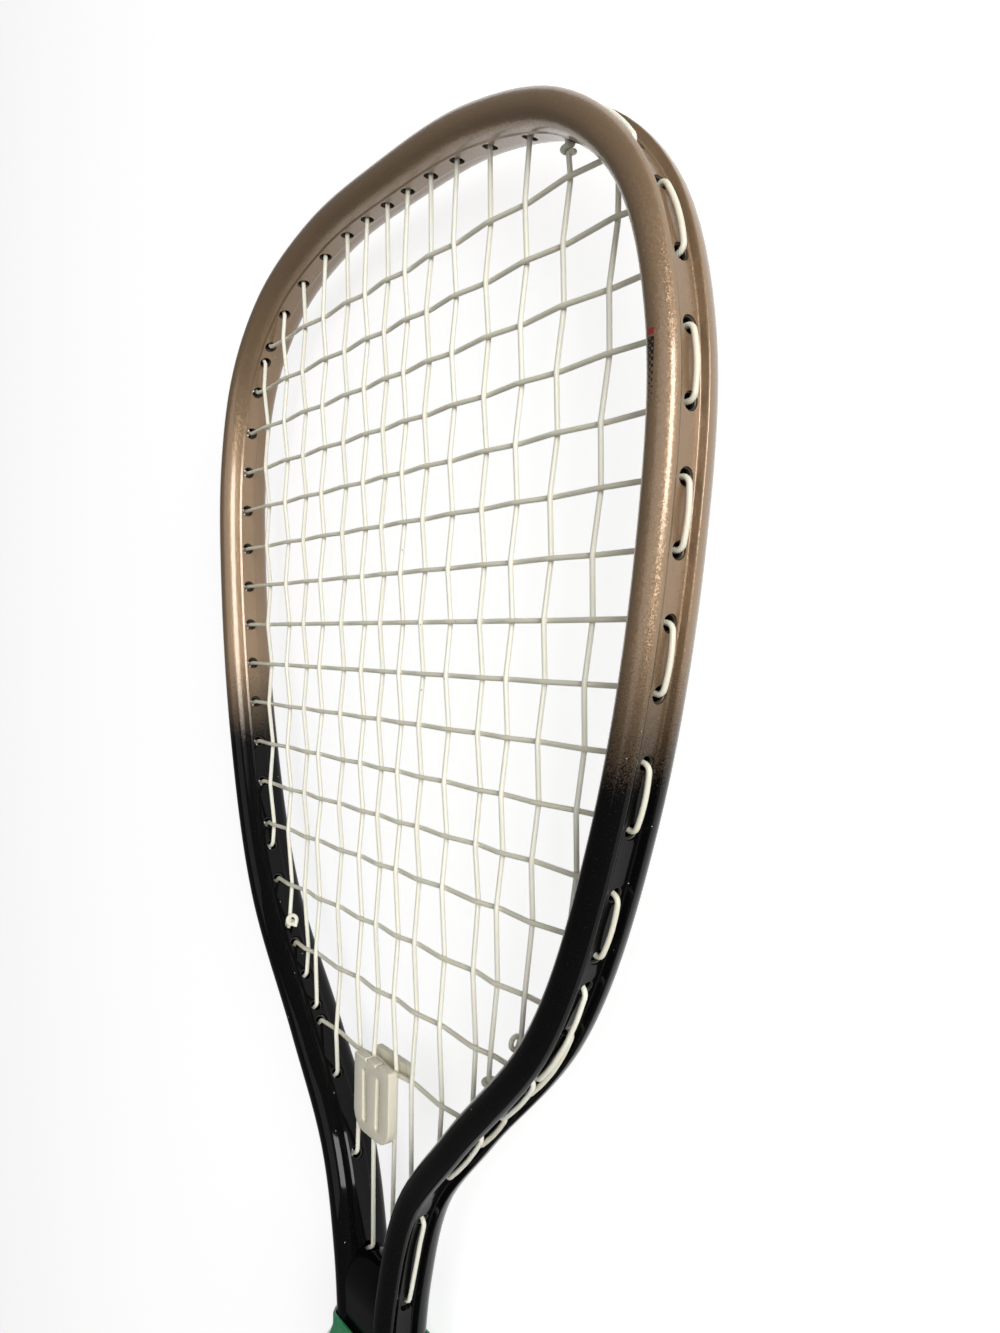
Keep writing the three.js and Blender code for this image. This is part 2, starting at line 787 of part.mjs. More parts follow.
// A plate with round lower corners and chamfered upper ones, from the depth z forwards
function rubberPlate({ top, height, corner, topCorner, thickness, z }) {
  const half = dampenerWidth / 2;
  const foot = top - height;
  const shape = new THREE.Shape();
  shape.moveTo(-half, foot + corner);
  shape.absellipse(corner - half, foot + corner, corner, corner, Math.PI, 1.5 * Math.PI, false);
  shape.absellipse(half - corner, foot + corner, corner, corner, 1.5 * Math.PI, 2 * Math.PI, false);
  shape.lineTo(half, top - topCorner);
  shape.lineTo(half - topCorner, top);
  shape.lineTo(topCorner - half, top);
  shape.lineTo(-half, top - topCorner);
  shape.closePath();
  const plate = new THREE.ExtrudeGeometry(shape, {
    depth: thickness,
    bevelEnabled: false,
    curveSegments: 4,
  });
  plate.translate(0, 0, z);
  return solidOf(plate);
}

function dampener() {
  const top = webTopY + dampenerOverlap;
  const foot = top - dampenerHeight;
  const slit = dampenerSlit / 2;
  const plate = rubberPlate({
    top,
    height: dampenerHeight,
    corner: dampenerCorner,
    topCorner: dampenerTopCorner,
    thickness: frontPlateThickness,
    z: slit,
  });
  const bar = rubberPlate({
    top: top + backBarRise,
    height: backBarHeight,
    corner: backBarCorner,
    topCorner: backBarCorner,
    thickness: backBarThickness,
    z: -slit - backBarThickness,
  });

  // The web stands on the plate; its top goes on through to the bar
  const webHalf = mainFootShares[0] * headHalfWidth - stringRadius - fitGap;
  const rootZ = slit + frontPlateThickness / 2;
  const web = (low, backZ) => {
    const block = new THREE.BoxGeometry(2 * webHalf, webTopY - low, rootZ - backZ);
    block.translate(0, (webTopY + low) / 2, (rootZ + backZ) / 2);
    return solidOf(block);
  };
  const barFoot = top + backBarRise - backBarHeight;
  const webs = [web(foot + dampenerCorner / 2, -slit), web(barFoot, -slit - backBarThickness / 2)];

  const slots = [-1, 1].map((side) => {
    const slot = new THREE.BoxGeometry(slotWidth, slotHeight, frontPlateThickness + 2 * cutOverrun);
    slot.translate(side * (webHalf - slotTuck), (top + foot) / 2, slit + frontPlateThickness / 2);
    return solidOf(slot);
  });
  return wasm.Manifold.union([plate, bar, ...webs]).subtract(wasm.Manifold.union(slots));
}

addPiece("frame", frame(), copperPaint);
addPiece("throat_yoke", throatYoke(), blackPaint);
addPiece("main_string", stringTube(mainRoute()), nylonString);
addPiece("cross_string", stringTube(crossRoute()), nylonString);

["main_knot_left", "main_knot_right"].forEach((name, i) => {
  const tie = mainTies[i];
  addPiece(name, knot(tie, frontLane, tieShift(tie, -1)), nylonString);
});
addPiece("cross_knot_top", knot(firstCrossTie, frontLane), nylonString);
addPiece("cross_knot_foot", knot(lastCrossTie, frontLane), nylonString);
addPiece("vibration_dampener", dampener(), creamRubber);
addPiece("handle_pallet_front", palletHalf(1), foamPlastic);
addPiece("handle_pallet_back", palletHalf(-1), foamPlastic);
addPiece("grip_wrap", gripWrap(), blackGrip);
addPiece("finishing_tape", finishingTape(), blackTape);
addPiece("grip_collar", gripCollar(), greenRubber);
addPiece("butt_cap", buttCap(), blackPlastic);
addPiece("butt_staple_front", staple(1), stapleSteel);
addPiece("butt_staple_back", staple(-1), stapleSteel);

// The racket lies on its back: the knob of the butt cap is its deepest part
const knobHalfDepth =
  palletHalfDepth + skirtOuter + fitGap + gripWall + capKnobProud + stapleStand;
racket.position.z = knobHalfDepth;

export default racket;
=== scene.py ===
# %% [markdown]
# # A racquetball racket, dressed around its measured frame
# The racket's solids exist already, at their real size: the hollow tube, the strings, the
# dampener and the pieces of the handle. This lesson puts finer pieces in their places, each
# with the finish of the real one. Loading the solids first gives every piece its place, so
# nothing has to be fitted afterwards.

# %% Load the frame
import math
from collections import namedtuple

import bmesh
import bpy
import numpy as np
from mathutils import Matrix, Vector


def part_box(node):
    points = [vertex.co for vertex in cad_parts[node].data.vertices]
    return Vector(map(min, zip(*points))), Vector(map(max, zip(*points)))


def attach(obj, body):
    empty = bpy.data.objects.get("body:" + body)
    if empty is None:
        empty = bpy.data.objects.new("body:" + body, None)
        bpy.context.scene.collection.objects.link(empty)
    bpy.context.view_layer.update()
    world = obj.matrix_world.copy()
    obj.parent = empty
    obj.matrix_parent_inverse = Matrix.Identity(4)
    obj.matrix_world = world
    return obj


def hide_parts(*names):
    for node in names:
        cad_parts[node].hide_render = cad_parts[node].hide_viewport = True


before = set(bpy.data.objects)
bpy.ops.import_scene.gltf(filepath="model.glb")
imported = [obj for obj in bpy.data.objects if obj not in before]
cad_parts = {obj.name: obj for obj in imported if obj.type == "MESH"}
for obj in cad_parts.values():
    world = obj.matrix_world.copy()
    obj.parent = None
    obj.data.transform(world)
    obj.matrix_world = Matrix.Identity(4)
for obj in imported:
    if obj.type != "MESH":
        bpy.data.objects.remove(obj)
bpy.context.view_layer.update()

MM = 0.001

# %% [markdown]
# ## The camera
# The photograph looks at the racket from its right side and from the front, from so near that
# the head's near edge comes out much larger than its far one. The camera's place and its
# three axes were found by matching the straight strings, so they are given as plain values.
# The camera comes first, because everything after it is judged through it.

# %% Camera
CAMERA_PLACE = Vector((237.1, 131.1, 159.5)) * MM
CAMERA_RIGHT = Vector((0.60645, 0.01717, -0.79494))
CAMERA_UP = Vector((-0.02879, 0.99959, -0.00038))
CAMERA_BACK = Vector((0.79460, 0.02312, 0.60669))

camera_data = bpy.data.cameras.new("camera")
camera_data.sensor_fit = "VERTICAL"
camera_data.sensor_height = 36
camera_data.lens = 26
camera_data.clip_start = 10 * MM
camera = bpy.data.objects.new("camera", camera_data)
bpy.context.scene.collection.objects.link(camera)
turn = Matrix((CAMERA_RIGHT, CAMERA_UP, CAMERA_BACK)).transposed()
camera.matrix_world = Matrix.Translation(CAMERA_PLACE) @ turn.to_4x4()
bpy.context.scene.camera = camera
print("camera", round(CAMERA_PLACE.length / MM), "mm from the racket's middle")

# %% [markdown]
# ## Small helpers
# One function adds any node with its settings and its links, and gives back one output, so
# that nodes can be written inside each other. Another turns a colour, as it is read on
# screen, into the linear values that a shader needs. The last two make an object, and a mesh
# from points and faces.

# %% Helpers for nodes and objects
def linear(colour):
    """An sRGB colour such as "#a5876c" as linear red, green, blue and alpha."""
    parts = [int(colour[i : i + 2], 16) / 255 for i in (1, 3, 5)]
    return (*[p / 12.92 if p <= 0.04045 else ((p + 0.055) / 1.055) ** 2.4 for p in parts], 1)


def node(tree, kind, *inputs, out=0, to=None, **settings):
    """Adds a node. Its inputs, values or outputs of others, come in order or as a dict by name."""
    made = tree.nodes.new(kind)
    for name, value in settings.items():
        setattr(made, name, value)
    named = inputs[-1] if inputs and isinstance(inputs[-1], dict) else dict(enumerate(inputs))
    for key, value in named.items():
        if isinstance(value, bpy.types.NodeSocket):
            tree.links.new(value, made.inputs[key])
        else:
            made.inputs[key].default_value = value
    if to is not None:
        tree.links.new(made.outputs[out], to)
    return made.outputs[out]


def new_material(name, **values):
    """A material, its tree and its shader, with single values set on the shader's sockets."""
    material = bpy.data.materials.new(name)
    material.use_nodes = True
    shader = material.node_tree.nodes["Principled BSDF"]
    for label, value in values.items():
        shader.inputs[label.replace("_", " ")].default_value = value
    print("material:", name)
    return material, material.node_tree, shader.inputs


def place(name, data):
    made = bpy.data.objects.new(name, data)
    bpy.context.scene.collection.objects.link(made)
    return made


def mesh_piece(name, points, faces=(), edges=()):
    mesh = bpy.data.meshes.new(name)
    mesh.from_pydata([tuple(p) for p in points], edges, faces)
    return place(name, mesh)


print("#808080 in linear light:", round(linear("#808080")[0], 3))

# %% [markdown]
# ## The tube's centreline
# The hoop and the two shafts are one tube. Its centreline is half an outline, mirrored: a few
# places, each a share of the head's half width and of the hoop's reach, joined by a curve
# that never overshoots them. Everything on the tube is then placed by one number, the
# distance along the tube from the tip.

# %% Centreline
HEAD_HALF_WIDTH = 108 * MM
HOOP_REACH = 358.6 * MM
SHAFT_HALF_GAP = 7.6 * MM
TUBE_WIDTH = 8.9 * MM
TUBE_DEPTH = 17.1 * MM
HOOP_SHARES = [
    (0, 0), (0.38, 0.0065), (0.707, 0.0395), (0.909, 0.099),
    (0.995, 0.186), (0.981, 0.3085), (0.88, 0.4645), (0.699, 0.6025),
]
THROAT_SHARES = [(0.353, 0.7072), (0.1335, 0.784), (0.0458, 0.8605), (0.013, 0.93), (0, 1)]

STRING_PLANE = sum(corner.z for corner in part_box("main_string")) / 2
CROWN_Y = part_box("frame")[1].y - TUBE_WIDTH / 2
SHAFT_END_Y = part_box("frame")[0].y


def centripetal(points, steps):
    """Places along a centripetal Catmull-Rom curve through the points."""
    knots = [2 * points[0] - points[1], *points, 2 * points[-1] - points[-2]]
    t = np.linspace(0, 1, steps, endpoint=False)[:, None]
    pieces = []
    for a, b, c, d in zip(knots, knots[1:], knots[2:], knots[3:]):
        u, v, w = (np.sqrt(np.linalg.norm(q - p)) for p, q in ((a, b), (b, c), (c, d)))
        leave = v * ((b - a) / u - (c - a) / (u + v) + (c - b) / v)
        arrive = v * ((c - b) / v - (d - b) / (v + w) + (d - c) / w)
        bend = 3 * (c - b) - 2 * leave - arrive
        pieces.append(b + leave * t + bend * t**2 + (leave + arrive - 2 * (c - b)) * t**3)
    return np.vstack([*pieces, points[-1:]])


overhang = HEAD_HALF_WIDTH - SHAFT_HALF_GAP
half_outline = np.array(
    [(x * HEAD_HALF_WIDTH, CROWN_Y - y * HOOP_REACH) for x, y in HOOP_SHARES]
    + [(SHAFT_HALF_GAP + x * overhang, CROWN_Y - y * HOOP_REACH) for x, y in THROAT_SHARES]
)
whole_curve = centripetal(np.vstack([half_outline[:0:-1] * (-1, 1), half_outline]), 200)
rail = np.vstack([whole_curve[len(whole_curve) // 2 :], (SHAFT_HALF_GAP, SHAFT_END_Y)])
rail_s = np.append(0, np.cumsum(np.linalg.norm(np.diff(rail, axis=0), axis=1)))
SHAFT_END = rail_s[-1]
print("the tube is", round(2 * SHAFT_END / MM), "mm long")

# %% [markdown]
# A place on the tube is its distance from the tip, positive on the right side, then how far
# out it lies from the centreline and how far in front of the string plane. `find` turns this
# round: it gives the distance at which the tube passes a height or a width.

# %% Places on the tube
TANGENT_STEP = 0.2 * MM
HALVINGS = 40


def unit(vector):
    return vector / np.linalg.norm(vector)


def middle(s):
    x, y = (np.interp(abs(s), rail_s, rail[:, axis]) for axis in (0, 1))
    return np.array((np.sign(s) * x, y))


def along(s):
    return unit(middle(s + TANGENT_STEP) - middle(s - TANGENT_STEP))


def on_tube(s, out=0.0, front=0.0):
    run = along(s)
    return np.append(middle(s) + out * np.array((-run[1], run[0])), STRING_PLANE + front)


def find(value, axis, out, low, high):
    """Distance between low and high where a line beside the tube has this x or y."""
    rising = on_tube(high, out)[axis] > on_tube(low, out)[axis]
    for _ in range(HALVINGS):
        half = (low + high) / 2
        if (on_tube(half, out)[axis] > value) == rising:
            high = half
        else:
            low = half
    return (low + high) / 2


WIDEST = rail_s[np.argmax(rail[:, 0])]
print("widest", round(WIDEST / MM), "mm from the tip, measured along the tube")

# %% [markdown]
# ## String holes
# The strings pass through the tube's two walls, between two rounded lobes: a shallow flat
# runs along the inside and a deep channel along the outside. Each hole is a line from the
# inner wall to the channel's floor. The two middle mains are different. They leave through
# the nose of the bridge in the throat and slant out through the shafts.

# %% Where the strings go
CHANNEL_DEPTH = 2.1 * MM
INNER_FLAT_DEPTH = 0.5 * MM
FLOOR = TUBE_WIDTH / 2 - CHANNEL_DEPTH
WALL = TUBE_WIDTH / 2 - INNER_FLAT_DEPTH
ENTRY_STAND = 0.4 * MM
FIRST_CROSS_SHARE = 0.0721
CROSS_PITCH_SHARE = 0.03904
EVEN_CROSSES = 13
LOWER_PITCH_SHARES = [1.3, 1.33, 1.457]
MAIN_TOP_SHARES = [0.051, 0.159, 0.273, 0.406, 0.551, 0.685, 0.83]
MAIN_FOOT_SHARES = [0.048, 0.144, 0.266, 0.402, 0.472, 0.588, 0.729]
YOKE_NOSE_WIDTH = 17 * MM
MIDDLE_HOLE_DROP = 6.2 * MM

NOSE_Y = on_tube(find(YOKE_NOSE_WIDTH / 2, 0, -WALL, WIDEST, SHAFT_END), -WALL)[1]


class Hole:
    """A string hole: its distance along the tube, its two ends and the way from in to out."""

    def __init__(self, s, inner=None):
        self.s = s
        self.inner = on_tube(s, -WALL - ENTRY_STAND) if inner is None else inner
        self.outer = on_tube(s, FLOOR)
        self.way = unit(self.outer - self.inner)


# A stretch of string across the head, between two holes.
String = namedtuple("String", "start end")

mains = []
for side in (-1, 1):
    for k, (top, foot) in list(enumerate(zip(MAIN_TOP_SHARES, MAIN_FOOT_SHARES)))[::side]:
        top_hole = Hole(side * find(top * HEAD_HALF_WIDTH, 0, -WALL, 0, WIDEST))
        x = foot * HEAD_HALF_WIDTH
        if k:
            foot_hole = Hole(side * find(x, 0, -WALL, WIDEST, SHAFT_END))
        else:
            mouth = find(NOSE_Y - MIDDLE_HOLE_DROP, 1, FLOOR, WIDEST, SHAFT_END)
            nose = np.array((side * x, NOSE_Y + ENTRY_STAND, STRING_PLANE))
            foot_hole = Hole(side * mouth, nose)
        mains.append(String(top_hole, foot_hole))

pitch = CROSS_PITCH_SHARE * HOOP_REACH
steps = [0, *[pitch] * (EVEN_CROSSES - 1), *[share * pitch for share in LOWER_PITCH_SHARES]]
cross_ys = CROWN_Y - FIRST_CROSS_SHARE * HOOP_REACH - np.cumsum(steps)
crosses = []
for y in cross_ys:
    s = find(y, 1, -WALL, 0, SHAFT_END)
    crosses.append(String(Hole(-s), Hole(s)))
holes = [hole for string in mains + crosses for hole in (string.start, string.end)]
print(len(mains), "mains,", len(crosses), "crosses,", len(holes), "holes")

# %% [markdown]
# ## Studio
# The floor is a plain pale sheet and the room is white, so the racket stands against a bright
# ground as it does in the photograph. The main lamp stands low on the right, so that faces
# turned to the right are brighter than the front ones, and a large weak one fills from above.
# To the camera and to reflections the floor looks white, and the racket's shadow stays.

# %% Floor, room and lamps
FLOOR_SIZE, FLOOR_LIFT = 6.0, 0.74
PAPER_GRAIN = 90.0
WALL_LIGHT, CEILING_LIGHT = 0.18, 0.12
RACKET_MIDDLE = (0, 0.1, 0)

corners = [(x * FLOOR_SIZE, y * FLOOR_SIZE, 0) for x, y in ((-1, -1), (1, -1), (1, 1), (-1, 1))]
floor = mesh_piece("floor", corners, [(0, 1, 2, 3)])
# Matt paper, with no shine of its own that could draw the eye.
paper, tree, shader = new_material("white studio paper", Roughness=0.9)
grain = node(tree, "ShaderNodeTexNoise", {"Scale": PAPER_GRAIN, "Detail": 3.0})
tones = {0: grain, 6: linear("#bababa"), 7: linear("#bdbdbd")}
node(tree, "ShaderNodeMix", tones, out=2, to=shader["Base Color"], data_type="RGBA")
rays = tree.nodes.new("ShaderNodeLightPath").outputs
direct = rays["Is Camera Ray"]
for ray in ("Is Glossy Ray", "Is Transmission Ray"):
    direct = node(tree, "ShaderNodeMath", direct, rays[ray], operation="MAXIMUM")
glow = shader["Emission Strength"]
node(tree, "ShaderNodeMath", direct, FLOOR_LIFT, to=glow, operation="MULTIPLY")
shader["Emission Color"].default_value = linear("#ffffff")
floor.data.materials.append(paper)

world = bpy.data.worlds.new("white room")
bpy.context.scene.world = world
world.use_nodes = True
sky = world.node_tree
background = sky.nodes["Background"].inputs
way = node(sky, "ShaderNodeTexCoord", out="Generated")
above = node(sky, "ShaderNodeSeparateXYZ", way, out="Z")
light = background["Strength"]
node(sky, "ShaderNodeMapRange", above, 0, 1, WALL_LIGHT, CEILING_LIGHT, to=light)
background["Color"].default_value = linear("#ffffff")


def lamp(name, spot, target, size, power):
    """A large square lamp that faces a target. Places in metres, power in watts."""
    light = bpy.data.lights.new(name, "AREA")
    light.size, light.energy = size, power
    made = place(name, light)
    made.location = spot
    made.rotation_euler = (Vector(target) - Vector(spot)).to_track_quat("-Z", "Y").to_euler()


lamp("side_lamp", (1.42, 0.42, 0.55), RACKET_MIDDLE, 0.7, 22)
lamp("high_lamp", (0.5, 0.3, 1.55), RACKET_MIDDLE, 1.4, 6.5)
bpy.context.scene.view_settings.view_transform = "Standard"

# %% [markdown]
# ## Lacquer of the tube
# The tube is graphite under a metallic copper lacquer, which fades through fine speckle into
# gloss black towards the throat. Flakes in the lacquer turn single specks lighter or darker,
# and the clear coat over them gives the long crisp reflections. The fade follows the
# racket's length at a slight slant, so it reads the object's own coordinates. Real flakes and
# specks are a few hundredths of a millimetre wide, and they are drawn coarser here so that
# they show.

# %% Copper lacquer that fades to black
FADE_TOP, FADE_END = 133 * MM, 96 * MM
FADE_SLANT, FADE_SOFTNESS = 0.035, 0.4
SPECK, SPECK_SHARE = 0.3 * MM, 0.6

lacquer, tree, shader = new_material(
    "metallic copper lacquer fading to black", Coat_Roughness=0.16, Specular_IOR_Level=0.15,
)
spot = node(tree, "ShaderNodeTexCoord", out="Object")
across, height, depth = (
    node(tree, "ShaderNodeSeparateXYZ", spot, out=axis) for axis in "XYZ"
)

slanted = node(tree, "ShaderNodeMath", across, -FADE_SLANT, height, operation="MULTIPLY_ADD")
rise = node(tree, "ShaderNodeMapRange", slanted, FADE_END, FADE_TOP)
speck = node(tree, "ShaderNodeTexNoise", {"Vector": spot, "Scale": 1 / SPECK, "Detail": 1.0})
uneven = node(tree, "ShaderNodeMath", speck, -SPECK_SHARE, rise, operation="MULTIPLY_ADD")
cover = node(tree, "ShaderNodeMath", uneven, (1 - SPECK_SHARE) / 2, operation="SUBTRACT")
coppered = node(tree, "ShaderNodeMapRange", cover, -FADE_SOFTNESS, FADE_SOFTNESS)
print("lacquer fades between", round(FADE_TOP / MM), "and", round(FADE_END / MM), "mm")

# %% [markdown]
# The printed mark lies on the front of the right side: a bar, and under it dots, which are
# where the product of two sine waves lies under a level that falls along the mark. Grains of
# dust are the middles of a few large cells. They too are drawn coarser than real ones.

# %% The printed mark and the dust
MARK_X, MARK_HALF_WIDTH = 106.2 * MM, 2.4 * MM
BAR_Y, BAR_HALF = 190.9 * MM, 0.6 * MM
DOTS_TOP, DOTS_END = 189.8 * MM, 176.5 * MM
DOT_PITCH, DOTS_THIN, DOTS_FULL = 1.3 * MM, -1.0, 0.7
DUST_CELL, DUST_SIZE = 4 * MM, 0.03

waves = []
for place_along in (across, height):
    turned = node(tree, "ShaderNodeMath", place_along, math.tau / DOT_PITCH, operation="MULTIPLY")
    waves.append(node(tree, "ShaderNodeMath", turned, operation="SINE"))
dots = node(tree, "ShaderNodeMath", *waves, operation="MULTIPLY")
level = node(tree, "ShaderNodeMapRange", height, DOTS_END, DOTS_TOP, DOTS_THIN, DOTS_FULL)
dots = node(tree, "ShaderNodeMath", dots, level, operation="LESS_THAN")
limits = [
    (across, MARK_X, MARK_HALF_WIDTH), (depth, STRING_PLANE + TUBE_DEPTH / 2, TUBE_DEPTH / 4),
    (height, (DOTS_TOP + DOTS_END) / 2, (DOTS_TOP - DOTS_END) / 2), (height, BAR_Y, BAR_HALF),
]
near_x, near_front, in_dots, in_bar = (
    node(tree, "ShaderNodeMath", *limit, operation="COMPARE") for limit in limits
)
marked = node(tree, "ShaderNodeMath", near_x, near_front, operation="MULTIPLY")
in_dots = node(tree, "ShaderNodeMath", in_dots, dots, operation="MULTIPLY")
in_bar, in_dots = (
    node(tree, "ShaderNodeMath", part, marked, operation="MULTIPLY")
    for part in (in_bar, in_dots)
)
grains = node(tree, "ShaderNodeTexVoronoi", {"Vector": spot, "Scale": 1 / DUST_CELL})
dust = node(tree, "ShaderNodeMath", grains, DUST_SIZE, operation="LESS_THAN")
print("a mark", round((BAR_Y + BAR_HALF - DOTS_END) / MM), "mm long")

# %% [markdown]
# Each layer of colour covers the ones before it: copper on black, then the mark, then dust.
# Copper also turns the metal, the roughness and the clear coat up, and its flakes tilt the
# surface a little, each its own way, so that some of them catch the light.

# %% Layers of colour and the finish
TONE = 30 * MM
COPPER_METAL, COPPER_COAT = 0.5, 0.8
BLACK_ROUGHNESS, COPPER_ROUGHNESS = 0.07, 0.38
FLAKE, FLAKE_TILT = 0.2 * MM, 0.26

tone = node(tree, "ShaderNodeTexNoise", {"Vector": spot, "Scale": 1 / TONE})
tones = {0: tone, 6: linear("#866e54"), 7: linear("#998065")}
copper = node(tree, "ShaderNodeMix", tones, out=2, data_type="RGBA")
colour = linear("#0a0a0b")
layers = [
    (coppered, copper), (in_bar, linear("#b23a3c")), (in_dots, linear("#2a231d")),
    (dust, linear("#c9c9c6")),
]
for share, over in layers:
    layer = {0: share, 6: colour, 7: over}
    colour = node(tree, "ShaderNodeMix", layer, out=2, data_type="RGBA")
tree.links.new(colour, shader["Base Color"])
finishes = [
    ("Metallic", 0, COPPER_METAL), ("Roughness", BLACK_ROUGHNESS, COPPER_ROUGHNESS),
    ("Coat Weight", 0, COPPER_COAT),
]
for socket, on_black, on_copper in finishes:
    node(tree, "ShaderNodeMapRange", coppered, 0, 1, on_black, on_copper, to=shader[socket])
flakes = node(tree, "ShaderNodeTexVoronoi", {"Vector": spot, "Scale": 1 / FLAKE}, out="Color")
tilt = node(tree, "ShaderNodeVectorMath", flakes, (0.5, 0.5, 0.5), operation="SUBTRACT")
amount = node(tree, "ShaderNodeMath", coppered, FLAKE_TILT, operation="MULTIPLY")
tilt = node(tree, "ShaderNodeVectorMath", {0: tilt, "Scale": amount}, operation="SCALE")
facing = node(tree, "ShaderNodeNewGeometry", out="Normal")
tilted = node(tree, "ShaderNodeVectorMath", facing, tilt, operation="ADD")
node(tree, "ShaderNodeVectorMath", tilted, to=shader["Normal"], operation="NORMALIZE")
print(lacquer.name, "has", len(tree.nodes), "nodes")

# %% [markdown]
# ## The tube
# The tube's section is two rounded lobes with a channel between them outside and a band that
# stands a little proud between them inside. The small rounds and steps where they meet give
# the thin bright lines that run along the real one. The front lobe is the lower one on the
# outside, so that the channel's floor and its holes show from the front. Geometry Nodes sweep
# the outline and the bore along the centreline, take one from the other, and drill every
# hole, so a change of one size carries through.

# %% The section of the tube
LOBE_HEIGHT, FRONT_LOBE_HEIGHT = 5.6 * MM, 3.3 * MM
LOBE_INSIDE = 4 * MM
BAND, BAND_WIDTH = 4.3 * MM, 4.6 * MM
CHANNEL_FLOOR_WIDTH, INNER_FLAT_WIDTH = 5.4 * MM, 4.2 * MM
TUBE_WALL = 1.3 * MM
LIP_ROUND, BAND_ROUND = 0.45 * MM, 0.12 * MM
LOBE_STEPS = 12
LOBE_MIDDLE = TUBE_DEPTH / 2 - LOBE_HEIGHT


def rounded(points, radii, steps=3):
    """A closed outline with its corners rounded. A radius of zero keeps a corner."""
    made = []
    for i, (corner, radius) in enumerate(zip(points, radii)):
        if not radius:
            made.append(corner)
            continue
        back, on = (unit(points[i + k] - corner) for k in (-1, 1 - len(points)))
        reach = radius / math.tan(math.acos(float(np.clip(back @ on, -1, 1))) / 2)
        t = np.linspace(0, 1, steps + 1)[:, None]
        made.extend(corner + reach * (back * (1 - t) ** 2 + on * t**2))
    return np.array(made)


def half_section(outer_height):
    """From the channel's floor round one lobe to the band. The lobe's outer side may be lower."""
    turn = np.linspace(0, math.pi / 2, LOBE_STEPS // 2 + 1)
    sides = [(TUBE_WIDTH / 2, outer_height, turn), (-LOBE_INSIDE, LOBE_HEIGHT, turn[-2::-1])]
    lobe = [
        (out * math.cos(a), TUBE_DEPTH / 2 - height * (1 - math.sin(a)))
        for out, height, angles in sides for a in angles
    ]
    return [(FLOOR, CHANNEL_FLOOR_WIDTH / 2), *lobe, (-BAND, BAND_WIDTH / 2)]


def tube_outline():
    """The outline as (outwards, to the front), from the channel round by the front lobe."""
    front = half_section(FRONT_LOBE_HEIGHT)
    rear = [(out, -depth) for out, depth in half_section(LOBE_HEIGHT)[::-1]]
    points = np.array([*front, *rear])
    soft = np.zeros(len(points))
    soft[[0, 1, -2, -1]] = LIP_ROUND
    soft[len(front) - 2 : len(front) + 2] = BAND_ROUND
    return rounded(points, soft)


def bore_outline():
    """The bore, which rounds each lobe from the wall beside the channel to the inner flat."""
    half, reach = TUBE_WIDTH / 2 - TUBE_WALL, LOBE_HEIGHT - TUBE_WALL
    turn = np.linspace(math.asin(TUBE_WALL / reach), math.pi, LOBE_STEPS)
    front = [
        (FLOOR - TUBE_WALL, CHANNEL_FLOOR_WIDTH / 2 + TUBE_WALL / 2),
        *zip(half * np.cos(turn), LOBE_MIDDLE + reach * np.sin(turn)),
        (TUBE_WALL - WALL, INNER_FLAT_WIDTH / 2),
    ]
    return [*front, *[(out, -depth) for out, depth in front[::-1]]]


print("the outline has", len(tube_outline()), "points, the bore", len(bore_outline()))

# %% [markdown]
# Both outlines become closed curves of straight stretches, which a node can sweep. They are
# turned half round, because the sweep's own directions point the other way.

# %% Outline and bore as curves
def wire(name, *rows, closed=True):
    """A curve object of straight stretches through each row of points, in space or flat."""
    curve = bpy.data.curves.new(name, "CURVE")
    curve.dimensions = "3D"
    for points in rows:
        spline = curve.splines.new("POLY")
        spline.points.add(len(points) - 1)
        for knot, p in zip(spline.points, points):
            knot.co = (*p, *[0] * (3 - len(p)), 1)
        spline.use_cyclic_u = closed
    return place(name, curve)


def profile(name, outline):
    """The outline as a closed curve, turned as a sweep along the tube needs it."""
    return wire(name, [(-out, -depth) for out, depth in outline])


outer_profile = profile("outer_profile", tube_outline())
bore_profile = profile("bore_profile", bore_outline())
print("curves:", outer_profile.name, "and", bore_profile.name)

# %% [markdown]
# Every tree of Geometry Nodes begins and ends in the same way, so two functions do that. Two
# more hold the few nodes that sweep an outline along a path or set copies on points.

# %% Helpers for trees
def geometry_tree(name, **sockets):
    """An empty tree of Geometry Nodes with these inputs and a Finish, and its input sockets."""
    tree = bpy.data.node_groups.new(name, "GeometryNodeTree")
    tree.interface.new_socket("Geometry", in_out="OUTPUT", socket_type="NodeSocketGeometry")
    for label, kind in {"Geometry": "Geometry", **sockets, "Finish": "Material"}.items():
        tree.interface.new_socket(label, in_out="INPUT", socket_type="NodeSocket" + kind)
    return tree, tree.nodes.new("NodeGroupInput").outputs


def end_tree(tree, given, made):
    """Ends a tree: the copies in it are made real, get the material, and are passed on."""
    made = node(tree, "GeometryNodeRealizeInstances", made)
    end = tree.nodes.new("NodeGroupOutput").inputs["Geometry"]
    node(tree, "GeometryNodeSetMaterial", {"Geometry": made, "Material": given["Finish"]}, to=end)


def sweep(tree, path, outline):
    shape = node(tree, "GeometryNodeObjectInfo", outline, out="Geometry")
    path = node(tree, "GeometryNodeSetCurveNormal", path, mode="Z_UP")
    swept = {"Curve": path, "Profile Curve": shape, "Fill Caps": True}
    return node(tree, "GeometryNodeCurveToMesh", swept)


def copies(tree, carriers, axis, thing, **sizes):
    """A copy of the thing on every point, turned to face along the axis."""
    places = {
        "Points": node(tree, "GeometryNodeMeshToPoints", carriers),
        "Instance": thing,
        "Rotation": node(tree, "FunctionNodeAlignRotationToVector", {"Vector": axis}, axis="Z"),
    }
    return node(tree, "GeometryNodeInstanceOnPoints", {**places, **sizes})


